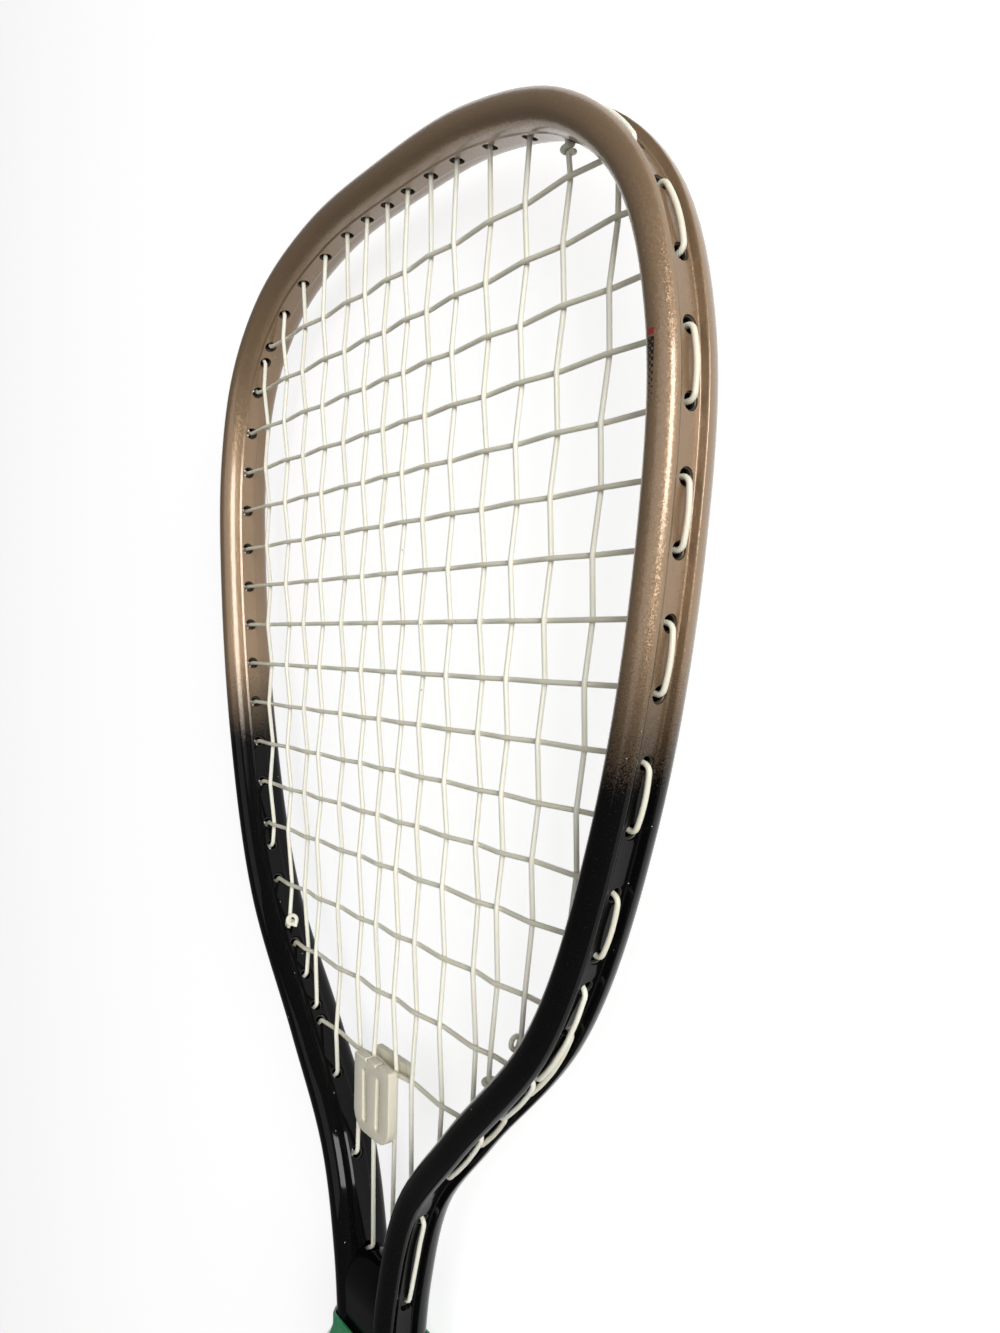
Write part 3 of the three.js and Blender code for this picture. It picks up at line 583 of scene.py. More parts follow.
# %% [markdown]
# The first tree hollows the tube out, and the second drills it. The tool for the holes is one
# small bar, of which every hole gets a copy of its own length.

# %% Trees that sweep and drill
HOLE_SIDES = 20
taken_away = {"operation": "DIFFERENCE", "solver": "MANIFOLD"}

hollow, given = geometry_tree("hollow tube", Outline="Object", Bore_path="Object", Bore="Object")
bore_path = node(hollow, "GeometryNodeObjectInfo", given["Bore_path"], out="Geometry")
both = {
    "Mesh 1": sweep(hollow, given["Geometry"], given["Outline"]),
    "Mesh 2": sweep(hollow, bore_path, given["Bore"]),
}
end_tree(hollow, given, node(hollow, "GeometryNodeMeshBoolean", both, **taken_away))

drilled, given = geometry_tree("drilled", Lines="Object", Diameter="Float")
lines = node(drilled, "GeometryNodeObjectInfo", given["Lines"], out="Geometry")
axis = node(drilled, "GeometryNodeInputNamedAttribute", "axis", data_type="FLOAT_VECTOR")
length = node(drilled, "ShaderNodeVectorMath", axis, out="Value", operation="LENGTH")
bar = {"Vertices": HOLE_SIDES, "Radius": 0.5, "Depth": 1.0}
bar = node(drilled, "GeometryNodeMeshCylinder", bar)
size = node(drilled, "ShaderNodeCombineXYZ", given["Diameter"], given["Diameter"], length)
bars = copies(drilled, lines, axis, bar, Scale=size)
both = {
    "Mesh 1": given["Geometry"],
    "Mesh 2": node(drilled, "GeometryNodeRealizeInstances", bars),
}
end_tree(drilled, given, node(drilled, "GeometryNodeMeshBoolean", both, **taken_away))
print("trees:", hollow.name, "and", drilled.name)

# %% [markdown]
# The holes go into the tree as one object: a loose point in the middle of each, which carries
# the hole's direction and length. The cuts reach out past the walls, so that no skin is left.

# %% A point for every hole
CUT_OVERRUN = 1 * MM


def carrier(name, points, label, values, joined=True):
    """Points, joined in a row or loose, that each carry a number or a direction."""
    edges = [(i, i + 1) for i in range(len(points) - 1)] if joined else []
    made = mesh_piece(name, points, edges=edges)
    values = np.array(values)
    kind, field = ("FLOAT", "value") if values.ndim == 1 else ("FLOAT_VECTOR", "vector")
    made.data.attributes.new(label, kind, "POINT").data.foreach_set(field, values.ravel())
    return made


def hole_lines(name, ends):
    """A point for each hole, in its middle, that carries the hole's direction and length."""
    ends = np.array(ends)
    return carrier(name, ends.mean(axis=1), "axis", ends[:, 1] - ends[:, 0], joined=False)


overruns = [(hole, CUT_OVERRUN * hole.way) for hole in holes]
string_holes = hole_lines(
    "string_holes", [(hole.inner - over, hole.outer + over) for hole, over in overruns]
)
print("holes to drill:", len(string_holes.data.vertices))

# %% [markdown]
# The sizes of a tree are set by each socket's identifier. Its result is kept as a plain mesh,
# because the export can't use a live modifier. `dress` then gives the finished piece its
# material, its shading and its body, and hides the solids that it replaces.

# %% Run a tree and dress a piece
def plain(source, name):
    """The evaluated object as a new one with a plain mesh. The source is removed."""
    bpy.context.view_layer.update()
    depsgraph = bpy.context.evaluated_depsgraph_get()
    mesh = bpy.data.meshes.new_from_object(source.evaluated_get(depsgraph))
    bpy.data.objects.remove(source)
    mesh.name = name
    return place(name, mesh)


def grow(source, name, tree, **inputs):
    """Runs a tree on an object and keeps the result as a new object with a plain mesh."""
    modifier = source.modifiers.new(tree.name, "NODES")
    modifier.node_group = tree
    for item in tree.interface.items_tree:
        if item.name in inputs:
            modifier[item.identifier] = inputs[item.name]
    return plain(source, name)


def dress(piece, material, slot, *solids, body="racket", crease=35):
    """Smooths a piece but for edges sharper than crease, gives it its material and its body, and
    hides its solids.
    """
    piece.data.shade_smooth()
    piece.data.set_sharp_from_angle(angle=math.radians(crease))
    piece.data.materials.clear()
    piece.data.materials.append(material)
    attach(piece, body)
    if solids:
        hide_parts(*solids)
    print(piece.name, len(piece.data.polygons), "faces")


# %% [markdown]
# The tube follows the centreline in even steps. The path of its bore runs on past the ends of
# both shafts, which leaves the two ends of the tube open.

# %% The hollow, drilled tube
RAIL_STEP = 4.5 * MM
HOLE_DIAMETER = 4 * MM


def tube_path(name, overrun):
    """The centreline, with a point at every step and at the two cut ends."""
    count = 2 * round(SHAFT_END / RAIL_STEP)
    points = [on_tube(s) for s in np.linspace(-SHAFT_END, SHAFT_END, count + 1)]
    points[0][1] -= overrun
    points[-1][1] -= overrun
    return wire(name, points, closed=False)


bore_path = tube_path("bore_path", CUT_OVERRUN)
frame_tube = grow(
    tube_path("tube_path", 0), "racket_frame", hollow,
    Outline=outer_profile, Bore_path=bore_path, Bore=bore_profile, Finish=lacquer,
)
drill = {"Lines": string_holes, "Diameter": HOLE_DIAMETER}
frame_tube = grow(frame_tube, "racket_frame", drilled, **drill, Finish=lacquer)
dress(frame_tube, lacquer, "frame_paint", "frame")
for used in (outer_profile, bore_profile, bore_path):
    bpy.data.objects.remove(used)

# %% [markdown]
# ## Path of the strings
# All the mains are one length of string, and so are the crosses. Each leaves through a hole,
# runs along the channel outside and comes back through the next hole. Where another string's
# hole lies under such a run, it keeps to one side: mains to the front, crosses to the back.
# Each cut end shares a hole with a main, to which it is tied.

# %% Ties and lanes
STRING_DIAMETER = 1.3 * MM
CLEARANCE = 0.15 * MM
LANE = STRING_DIAMETER / 2 + CLEARANCE


class Tie:
    """A cut end that shares a hole with a main and is knotted round it."""

    def __init__(self, start, end, main, spread=0):
        self.start, self.end, self.main = start, end, main
        self.shift = np.append(along(end.s), 0) * spread * np.sign(start.s - end.s)


main_ties = [
    Tie(mains[0].end, mains[1].end, mains[1], LANE),
    Tie(mains[-1].end, mains[-2].end, mains[-2], LANE),
]
cross_ties = [
    Tie(crosses[0].end, mains[-2].start, mains[-2]), Tie(crosses[-1].end, mains[-3].end, mains[-3]),
]
shared_holes = [tie.end for tie in main_ties + cross_ties]


def lane_between(a, b, lane):
    """How far a link between two holes keeps from the channel's middle."""
    low_s, high_s = sorted((a.s, b.s))
    crowded = any(low_s < hole.s < high_s for hole in holes)
    return lane if crowded or a in shared_holes or b in shared_holes else 0


print(len(shared_holes), "holes hold a cut end beside a main")

# %% [markdown]
# The path is a list of places, each with the radius of the bend that the string makes there,
# so that the tight corners at the holes and the soft weave come from the same rule.

# %% Stretches of a path
WEAVE_LIFT = 0.66 * MM
STAND = FLOOR + LANE
LINK_BOW = 0.65 * MM
LINK_SHARES = (0.25, 0.5, 0.75)
TAIL_SHORT = 0.8 * MM
ENTRY_BEND, CORNER_BEND, LINK_BEND, WEAVE_BEND = 2 * MM, 1.7 * MM, 30 * MM, 9 * MM


def raised(point, height):
    return point + np.array((0, 0, height))


def leave(hole, lane, shift):
    """From the bend inside the head out to the corner in the channel."""
    inner = raised(hole.inner + shift, lane if hole in shared_holes else 0)
    return [(inner, ENTRY_BEND), (on_tube(hole.s, STAND, lane) + shift, CORNER_BEND)]


def link(a, b, lane):
    """The middle of a run along the channel, which bows outwards a little."""
    return [
        (on_tube(a.s + (b.s - a.s) * t, STAND + LINK_BOW * math.sin(math.pi * t), lane), LINK_BEND)
        for t in LINK_SHARES
    ]


def tail(tie, lane):
    """From the last hole along the channel and into the shared hole."""
    mouth = (on_tube(tie.end.s, STAND, lane) + tie.shift, CORNER_BEND)
    cut_end = (on_tube(tie.end.s, TAIL_SHORT - WALL, lane) + tie.shift, 0)
    return [*link(tie.start, tie.end, lane), mouth, cut_end]


def crossing(j, i, main):
    """Where main j passes cross i, as a place on one of them, or nothing outside the head."""
    top, foot = mains[j].start.inner, mains[j].end.inner
    y = cross_ys[i]
    x = foot[0] + (top[0] - foot[0]) * (y - foot[1]) / (top[1] - foot[1])
    if not foot[1] < y < top[1] or not crosses[i].start.inner[0] < x < crosses[i].end.inner[0]:
        return []
    lift = WEAVE_LIFT if (i + j) % 2 == int(main) else -WEAVE_LIFT
    return [(np.array((x, y, STRING_PLANE + lift)), WEAVE_BEND)]


# %% [markdown]
# A string goes over the head and back, so every other stretch is walked the other way round.

# %% One path for each string
no_shift = np.zeros(3)


def whole_path(strings, ties, lane):
    """One string's path: a tail, every stretch with the links between them, and a tail."""
    main = strings is mains
    shifts = {tie.end: -tie.shift for tie in ties}
    first, last = [tail(tie, lane) for tie in ties]
    path = first[::-1]
    lane_in = lane
    for n, string in enumerate(strings):
        pairs = [(n, i) for i in range(len(crosses))] if main else [(j, n) for j in range(len(mains))]
        places = [place for j, i in pairs for place in crossing(j, i, main)]
        start, end = (string.start, string.end) if n % 2 else (string.end, string.start)
        after = None
        if n + 1 < len(strings):
            after = strings[n + 1].end if n % 2 else strings[n + 1].start
        lane_out = lane_between(end, after, lane) if after else lane
        path += leave(start, lane_in, shifts.get(start, no_shift))[::-1]
        path += places if n % 2 else places[::-1]
        path += leave(end, lane_out, shifts.get(end, no_shift))
        path += link(end, after, lane_out) if after else last
        lane_in = lane_out
    return path


main_path = whole_path(mains, main_ties, LANE)
cross_path = whole_path(crosses, cross_ties, -LANE)
print(len(main_path), "places on the mains,", len(cross_path), "on the crosses")

# %% [markdown]
# ## Strings
# Racquetball string is a bundle of nylon filaments, twisted and bonded under a clear skin. It
# is cream, a little translucent, and its skin shows a fine slanting lay. Geometry Nodes round
# each place of the path by its own radius and sweep a circle along it. They also note how far
# along and how far round each point is, and the material winds its lay from these two.

# %% Nylon string
LAY_PITCH, LAY_STRANDS, LAY_DEPTH = 3.2 * MM, 6, 0.03 * MM
BLOTCH = 9 * MM
SCUFF, SCUFF_EDGE = 1.1 * MM, (0.74, 0.78)
SCUFF_MIDDLE, SCUFF_REACH = (22 * MM, 135 * MM, 0), 75 * MM
SCUFF_MOST, SCUFF_LEAST = 0.11, -0.1


def nylon(name, light, dark):
    """Bonded nylon string, cream and slightly see-through, with grey scuffs in mid-bed."""
    material, tree, shader = new_material(
        name, Roughness=0.34, IOR=1.53, Subsurface_Weight=0.1, Subsurface_Scale=0.5 * MM,
    )
    run, round_ = (
        node(tree, "ShaderNodeAttribute", out="Fac", attribute_name=label)
        for label in ("along", "around")
    )
    turns = node(tree, "ShaderNodeMath", run, 1 / LAY_PITCH, operation="MULTIPLY")
    wound = node(tree, "ShaderNodeMath", turns, round_, operation="ADD")
    wave = node(tree, "ShaderNodeMath", wound, math.tau * LAY_STRANDS, operation="MULTIPLY")
    lay = node(tree, "ShaderNodeMath", wave, operation="SINE")
    relief = {"Height": lay, "Strength": 0.5, "Distance": LAY_DEPTH}
    node(tree, "ShaderNodeBump", relief, to=shader["Normal"])

    spot = node(tree, "ShaderNodeTexCoord", out="Object")
    blotch = node(tree, "ShaderNodeTexNoise", {"Vector": spot, "Scale": 1 / BLOTCH})
    tones = {0: blotch, 6: linear(dark), 7: linear(light)}
    cream = node(tree, "ShaderNodeMix", tones, out=2, data_type="RGBA")
    fleck = {"Vector": spot, "Scale": 1 / SCUFF, "Detail": 4.0}
    fleck = node(tree, "ShaderNodeTexNoise", fleck)
    away = node(
        tree, "ShaderNodeVectorMath", spot, SCUFF_MIDDLE, out="Value", operation="DISTANCE"
    )
    near = node(tree, "ShaderNodeMapRange", away, 0, SCUFF_REACH, SCUFF_MOST, SCUFF_LEAST)
    rubbed = node(tree, "ShaderNodeMath", fleck, near, operation="ADD")
    scuffed = node(tree, "ShaderNodeMapRange", rubbed, *SCUFF_EDGE)
    grey = {0: scuffed, 6: cream, 7: linear("#3a3836")}
    node(tree, "ShaderNodeMix", grey, out=2, to=shader["Base Color"], data_type="RGBA")
    return material


# The mains are clean cream. The crosses are drawn a shade greyer, and that grey is painted shade.
main_nylon = nylon("bonded nylon string, cream", "#f6f4e6", "#efecda")
shaded_cross_nylon = nylon("bonded nylon string, cream in painted shade", "#ebe8d6", "#dcd8c2")

# %% [markdown]
# A string could be one long curve with handles, but then each bend would have to be shaped by
# hand. Here its path is plain straight stretches, and a Fillet Curve node rounds every place
# by the radius stored there, so a sharp corner at a hole and a soft weave need one rule only.

# %% Tree that bends a string
STRING_SIDES = 12
BEND_STEPS = 4


def noted(tree, geometry, name, what):
    """Stores on every point of a curve how far along it lies, as a length or as a share."""
    value = node(tree, "GeometryNodeSplineParameter", out=what)
    stored = {"Geometry": geometry, "Name": name, "Value": value}
    return node(
        tree, "GeometryNodeStoreNamedAttribute", stored, data_type="FLOAT", domain="POINT"
    )


bent, given = geometry_tree("bent string", Diameter="Float")
bend = node(bent, "GeometryNodeInputNamedAttribute", "bend", data_type="FLOAT")
path = node(bent, "GeometryNodeMeshToCurve", given["Geometry"])
fillet = {"Curve": path, "Count": BEND_STEPS, "Limit Radius": True, "Radius": bend}
path = node(bent, "GeometryNodeFilletCurve", fillet, mode="POLY")
path = node(bent, "GeometryNodeSetCurveNormal", path, mode="Z_UP")
radius = node(bent, "ShaderNodeMath", given["Diameter"], 0.5, operation="MULTIPLY")
circle = {"Resolution": STRING_SIDES, "Radius": radius}
circle = node(bent, "GeometryNodeCurvePrimitiveCircle", circle)
string = {
    "Curve": noted(bent, path, "along", "Length"),
    "Profile Curve": noted(bent, circle, "around", "Factor"),
    "Fill Caps": True,
}
end_tree(bent, given, node(bent, "GeometryNodeCurveToMesh", string))


def string_piece(name, places, finish, *solids):
    """A string through places, each a point with the radius of its bend."""
    path = carrier(name, [p for p, _ in places], "bend", [float(bend) for _, bend in places])
    piece = grow(path, name, bent, Diameter=STRING_DIAMETER, Finish=finish)
    dress(piece, finish, "string", *solids, crease=60)


string_piece("mains", main_path, main_nylon, "main_string")
string_piece("crosses", cross_path, shaded_cross_nylon, "cross_string")

# %% [markdown]
# ## Knots
# Each cut end comes in through the hole that it shares with a main, is tied to that main, and
# is cut short. It is drawn as the same string: the crosses' ends take a few places on a small
# helix round the main, and the mains' own ends a round loop beside it, which catches the eye.

# %% Half hitches
MAIN_START, CROSS_START = 2.3 * MM, 1.5 * MM
MAIN_STUB, CROSS_STUB = 1.5 * MM, 0.6 * MM
HITCH_RADIUS, HITCH_PITCH, HITCH_BEND = STRING_DIAMETER + CLEARANCE / 3, 1.36 * MM, 1.2 * MM
HITCH_TURNS, HITCH_STEPS = 1.1, 8
LOOP_RADIUS, LOOP_STAND, LOOP_DRIFT = 1.55 * MM, 1.7 * MM, 0.15 * MM
LOOP_ANGLES = np.radians(np.arange(-120, 211, 30))
ENTRY_REACH = 0.4 * MM


def half_hitch(tie, begin, stub, looped):
    """Places of a cut end from inside its hole, beside or round its main, to the stub."""
    inward = unit(on_tube(tie.end.s, 0) - on_tube(tie.end.s, TUBE_WIDTH))
    foot = raised(tie.end.inner - tie.shift, LANE)
    points = [p for i in range(len(crosses)) for p in crossing(mains.index(tie.main), i, True)]
    target = min((p for p, _ in points), key=lambda p: np.linalg.norm(p - foot))
    axis = unit(target - foot)
    across = unit(np.cross(axis, (0, 0, 1)))
    above = np.cross(across, axis)
    start = on_tube(tie.end.s, TAIL_SHORT - WALL, -LANE) + tie.shift
    points = [start, start + inward * (TAIL_SHORT + ENTRY_STAND + ENTRY_REACH)]
    centre = foot + axis * begin
    if looped:
        aside = -across * np.sign(foot[0])
        for angle in LOOP_ANGLES:
            ring = above * math.cos(angle) + axis * math.sin(angle)
            beside = aside * (LOOP_STAND + LOOP_DRIFT * angle)
            points.append(centre + ring * LOOP_RADIUS + beside)
    else:
        side = np.sign((start - foot) @ across) or 1.0
        for turn in np.arange(0, HITCH_TURNS, 1 / HITCH_STEPS):
            angle = 2 * math.pi * turn
            ring = side * across * math.cos(angle) + above * math.sin(angle)
            points.append(centre + axis * HITCH_PITCH * turn + ring * HITCH_RADIUS)
    bends = [0, *[HITCH_BEND] * (len(points) - 1), 0]
    return list(zip([*points, points[-1] + unit(points[-1] - points[-2]) * stub], bends))


for side, tie in zip(("left", "right"), main_ties):
    knot = half_hitch(tie, MAIN_START, MAIN_STUB, True)
    string_piece("hitch_main_knot_" + side, knot, main_nylon, "main_knot_" + side)
for end, tie in zip(("top", "foot"), cross_ties):
    knot = half_hitch(tie, CROSS_START, CROSS_STUB, False)
    string_piece("hitch_cross_knot_" + end, knot, shaded_cross_nylon, "cross_knot_" + end)

# %% [markdown]
# ## Lofts and plain finishes
# Most of the other pieces are lofted through rings of points. Their materials are patches of
# two close tones, mostly with a fine grain in relief, so one function serves them all.

# %% Lofts and materials in two tones
def outwards(piece):
    """Turns every face to point out of the closed piece."""
    bm = bmesh.new()
    bm.from_mesh(piece.data)
    bmesh.ops.remove_doubles(bm, verts=bm.verts, dist=MM / 1000)
    bmesh.ops.recalc_face_normals(bm, faces=bm.faces)
    bm.to_mesh(piece.data)
    bm.free()
    return piece


def loft(name, rings, capped=False):
    """Joins each ring of points to the next, and the last to the first unless it is capped."""
    count = len(rings[0])
    total = count * len(rings)
    faces = []
    for a in range(0, total - count if capped else total, count):
        b = (a + count) % total
        faces += [(a + k, a + (k + 1) % count, b + (k + 1) % count, b + k) for k in range(count)]
    if capped:
        faces += [range(count)[::-1], range(total - count, total)]
    return outwards(mesh_piece(name, [p for ring in rings for p in ring], faces))


def two_tone(name, dark, light, size, detail=2.0, bump=None, kind="ShaderNodeTexNoise", **values):
    """A material in patches of two close tones. bump is the size of its grain, strength, depth."""
    material, tree, shader = new_material(name, **values)
    spot = node(tree, "ShaderNodeTexCoord", out="Object")
    grain = node(tree, kind, {"Vector": spot, "Scale": 1 / size, "Detail": detail})
    tones = {0: grain, 6: linear(dark), 7: linear(light)}
    node(tree, "ShaderNodeMix", tones, out=2, to=shader["Base Color"], data_type="RGBA")
    if bump:
        fine, strength, depth = bump
        if fine != size:
            grain = node(tree, kind, {"Vector": spot, "Scale": 1 / fine})
        relief = {"Height": grain, "Strength": strength, "Distance": depth}
        node(tree, "ShaderNodeBump", relief, to=shader["Normal"])
    return material


# %% [markdown]
# ## Eyelets
# Graphite edges would cut the strings, so every hole is lined with a small clear nylon tube.
# One eyelet is modelled with few faces, as a turned ring, and Geometry Nodes set a copy of it
# at the outer end of every hole and at the inner end of all but those in the bridge's nose,
# facing along the hole.

# %% Nylon eyelets
EYELET_WALL, EYELET_LENGTH, EYELET_SUNK = 0.35 * MM, 1.1 * MM, 0.35 * MM
EYELET_FIT = 0.02 * MM
EYELET_SIDES = 16

# Painted shade: the clear nylon is coloured dull dark brown, as it looks in the shade of its hole, so
# that the hole still reads as dark.
eyelet_nylon_in_painted_shade = two_tone(
    "clear moulded nylon, painted dark with the hole's shade", "#2e2a24", "#463f34", 5 * MM,
    Roughness=0.45, IOR=1.53, Subsurface_Weight=0.1, Subsurface_Scale=1 * MM,
)


def eyelet_ring():
    outer, inner = HOLE_DIAMETER / 2 - EYELET_FIT, HOLE_DIAMETER / 2 - EYELET_WALL
    lip = -EYELET_SUNK - EYELET_WALL / 3
    section = [
        (outer, -EYELET_LENGTH), (outer, lip), ((outer + inner) / 2, -EYELET_SUNK),
        (inner, lip), (inner, -EYELET_LENGTH),
    ]
    turns = [2 * math.pi * k / EYELET_SIDES for k in range(EYELET_SIDES)]
    return loft(
        "eyelet_ring", [[(r * math.cos(a), r * math.sin(a), z) for r, z in section] for a in turns]
    )


ring = eyelet_ring()
set_out, given = geometry_tree("set on holes", Ring="Object")
facing = node(set_out, "GeometryNodeInputNamedAttribute", "axis", data_type="FLOAT_VECTOR")
eyelet = node(set_out, "GeometryNodeObjectInfo", given["Ring"], out="Geometry")
end_tree(set_out, given, copies(set_out, given["Geometry"], facing, eyelet))

mouth_lines = []
for hole in holes:
    mouth_lines.append((hole.outer - hole.way, hole.outer + hole.way))
    if hole.inner[1] > NOSE_Y + 2 * ENTRY_STAND:
        wall = hole.inner + hole.way * ENTRY_STAND
        mouth_lines.append((wall + hole.way, wall - hole.way))
mouths = hole_lines("mouths", mouth_lines)
eyelets = grow(mouths, "string_eyelets", set_out, Ring=ring, Finish=eyelet_nylon_in_painted_shade)
dress(eyelets, eyelet_nylon_in_painted_shade, "string", crease=50)
bpy.data.objects.remove(ring)

# %% [markdown]
# ## Bridge in the throat
# The bridge is moulded in one with the shafts and closes the foot of the head. Its sides fit
# the two tubes, its front and back are flat, and its nose falls away in a half round, where
# the two middle mains go in. It is lofted: each level along the racket has a closed ring,
# which follows the tubes at its sides and is rounded at its edges.

# %% Gloss black bridge
YOKE_DEPTH, YOKE_NOSE_RISE = 15 * MM, 11 * MM
YOKE_GAP = 0.12 * MM
YOKE_LEVELS, YOKE_SIDE_STEPS, YOKE_FACE_STEPS = 26, 14, 8
NOSE_TIP = 0.05 * MM
YOKE_END_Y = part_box("throat_yoke")[0].y

# Deep black that shows only as the crisp light lines along its edges.
black = two_tone(
    "gloss black lacquer", "#08080a", "#0e0e10", 3 * MM, 3.0,
    Roughness=0.08, Specular_IOR_Level=0.15,
)


def tube_half(z):
    """Half the tube's width on its inner side, z in front of the string plane."""
    z = abs(z)
    if z <= LOBE_MIDDLE:
        share = max(0, (z - BAND_WIDTH / 2) / (LOBE_MIDDLE - BAND_WIDTH / 2))
        return BAND + share * (LOBE_INSIDE - BAND)
    return LOBE_INSIDE * math.sqrt(max(0, 1 - ((z - LOBE_MIDDLE) / LOBE_HEIGHT) ** 2))


def throat_bridge():
    half = YOKE_DEPTH / 2
    levels = [(YOKE_END_Y, half)]
    for a in np.linspace(0, math.pi / 2, YOKE_LEVELS):
        y = NOSE_Y - YOKE_NOSE_RISE * (1 - math.sin(a))
        levels.append((y, max(half * math.cos(a), NOSE_TIP)))
    rings = []
    for y, depth in levels:
        tube_x = on_tube(find(y, 1, 0, WIDEST, SHAFT_END))[0]
        turns = np.linspace(-math.pi / 2, math.pi / 2, YOKE_SIDE_STEPS)
        right = [(tube_x - tube_half(z) - YOKE_GAP, z) for z in depth * np.sin(turns)]
        spans = np.linspace(1, -1, YOKE_FACE_STEPS + 2)[1:-1]
        ring = right + [(right[-1][0] * share, depth) for share in spans]
        ring += [(-x, -z) for x, z in ring]
        rings.append([(x, y, STRING_PLANE + z) for x, z in ring])
    return loft("throat_bridge", rings, capped=True)


bridge = grow(throat_bridge(), "throat_bridge", drilled, **drill, Finish=black)
dress(bridge, black, "yoke_paint", "throat_yoke")
bpy.data.objects.remove(string_holes)

# %% [markdown]
# ## Dampener
# The dampener is moulded in one from soft cream rubber: a front plate with two slots, a thick
# web between the two middle mains, and a short bar behind them that hooks over the last
# cross.

# %% Cream rubber
# Soft and a little see-through, so its edges look lighter and its shadows warm.
cream_rubber = two_tone(
    "moulded cream rubber", "#ded8c3", "#e8e3d1", 6 * MM, 3.0, (0.4 * MM, 0.25, 0.05 * MM),
    Roughness=0.42, IOR=1.5, Subsurface_Weight=0.1, Subsurface_Scale=1 * MM,
)

# %% [markdown]
# Each part of it is a flat outline made of arcs. The front plate also has notches in its top
# for the strings and two slots through its middle.

# %% Outlines of the dampener
SLOT_WIDTH, SLOT_HEIGHT, SLOT_X, SLOT_LEAN = 2 * MM, 15.2 * MM, 3.9 * MM, 0.4 * MM
NOTCH_WIDTH, NOTCH_DEPTH = 1.3 * MM, 0.7 * MM
ARC_STEPS = 10


def arc(x, y, radius, start, end):
    turn = np.radians(np.linspace(start, end, ARC_STEPS + 1))
    return [(x + radius * math.cos(a), y + radius * math.sin(a)) for a in turn]


def shield(half, top, foot, corner, top_corner, notches=()):
    """Outline of a plate: two large rounds at the foot, two small ones at the top."""
    edge, deep = NOTCH_WIDTH / 2, top - NOTCH_DEPTH
    cuts = [
        point for x in notches
        for point in ((x + edge, top), (x + edge, deep), (x - edge, deep), (x - edge, top))
    ]
    return [
        *arc(corner - half, foot + corner, corner, 180, 270),
        *arc(half - corner, foot + corner, corner, 270, 360),
        *arc(half - top_corner, top - top_corner, top_corner, 0, 90),
        *cuts,
        *arc(top_corner - half, top - top_corner, top_corner, 90, 180),
    ]


def slot_outline(side, middle_y):
    """A slot with round ends, whose foot leans a little towards the middle."""
    half, reach = SLOT_WIDTH / 2, (SLOT_HEIGHT - SLOT_WIDTH) / 2
    lean = -side * SLOT_LEAN
    top = arc(side * SLOT_X, middle_y + reach, half, 0, 180)
    return top + arc(side * SLOT_X + lean, middle_y - reach, half, 180, 360)


# %% [markdown]
# A curve fills each outline, gives it a thickness and rounds its edges. The four parts are
# then joined into one closed body.

# %% The dampener
DAMPENER_WIDTH, DAMPENER_SLIT, DAMPENER_ROUND = 19.6 * MM, 3.5 * MM, 0.35 * MM
DAMPENER_CORNER, TOP_CORNER, NOTCH_X = 5.8 * MM, 0.9 * MM, 2.7 * MM
BAR_HEIGHT, BAR_RISE, BAR_CORNER = 4.8 * MM, 0.6 * MM, 1.9 * MM
FRONT_PLATE, BACK_BAR = 2.8 * MM, 2.4 * MM
ROOT_SHORT = 0.1 * MM
EDGE_STEPS = 3


def plate(name, outlines, low, high, edge):
    """Outlines filled from low to high in front of the string plane, with rounded edges."""
    flat = wire(name, *outlines)
    curve = flat.data
    curve.dimensions, curve.fill_mode = "2D", "BOTH"
    curve.extrude = (high - low) / 2 - edge
    curve.bevel_depth, curve.bevel_resolution, curve.offset = edge, EDGE_STEPS, -edge
    made = plain(flat, name)
    made.data.transform(Matrix.Translation((0, 0, STRING_PLANE + (low + high) / 2)))
    return outwards(made)


def joined(name, pieces):
    """The pieces joined into one closed body by Boolean unions."""
    first, *others = pieces
    for other in others:
        union = first.modifiers.new("union", "BOOLEAN")
        union.operation, union.solver, union.object = "UNION", "MANIFOLD", other
    made = plain(first, name)
    for other in others:
        bpy.data.objects.remove(other)
    return made


def dampener():
    low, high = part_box("vibration_dampener")
    half, slit = DAMPENER_WIDTH / 2, DAMPENER_SLIT / 2
    top, foot = high.y - BAR_RISE, low.y
    slots = [slot_outline(side, (top + foot) / 2) for side in (-1, 1)]
    front = [shield(half, top, foot, DAMPENER_CORNER, TOP_CORNER, (NOTCH_X, -NOTCH_X)), *slots]
    bar_foot = high.y - BAR_HEIGHT
    bar = [shield(half, high.y, bar_foot, BAR_CORNER, BAR_CORNER)]
    web_half = MAIN_FOOT_SHARES[0] * HEAD_HALF_WIDTH - STRING_DIAMETER / 2 - CLEARANCE
    web_top = cross_ys[-1] - STRING_DIAMETER / 2 - 2 * CLEARANCE
    web, root = (
        [shield(web_half, web_top, web_foot, web_half / 4, web_half / 4)]
        for web_foot in (foot + DAMPENER_CORNER / 2, bar_foot + ROOT_SHORT)
    )
    web_front = slit + FRONT_PLATE / 2
    return joined("dampener_rubber_body", [
        plate("front_plate", front, slit, slit + FRONT_PLATE, DAMPENER_ROUND),
        plate("back_bar", bar, -slit - BACK_BAR, -slit, DAMPENER_ROUND),
        plate("web", web, -slit, web_front, DAMPENER_ROUND / 3),
        plate("root", root, -slit - BACK_BAR / 2, web_front, DAMPENER_ROUND / 3),
    ])


dress(
    dampener(), cream_rubber, "dampener_rubber", "vibration_dampener", body="dampener", crease=40
)

# %% [markdown]
# ## Sleeves of the handle
# The handle's section is an octagon with softened corners. Every sleeve on it is a stack of
# such rings, so one function makes them all: it takes each ring's place, size and chamfer,
# rounds the corners, and closes the stack down the outside and up the inside.

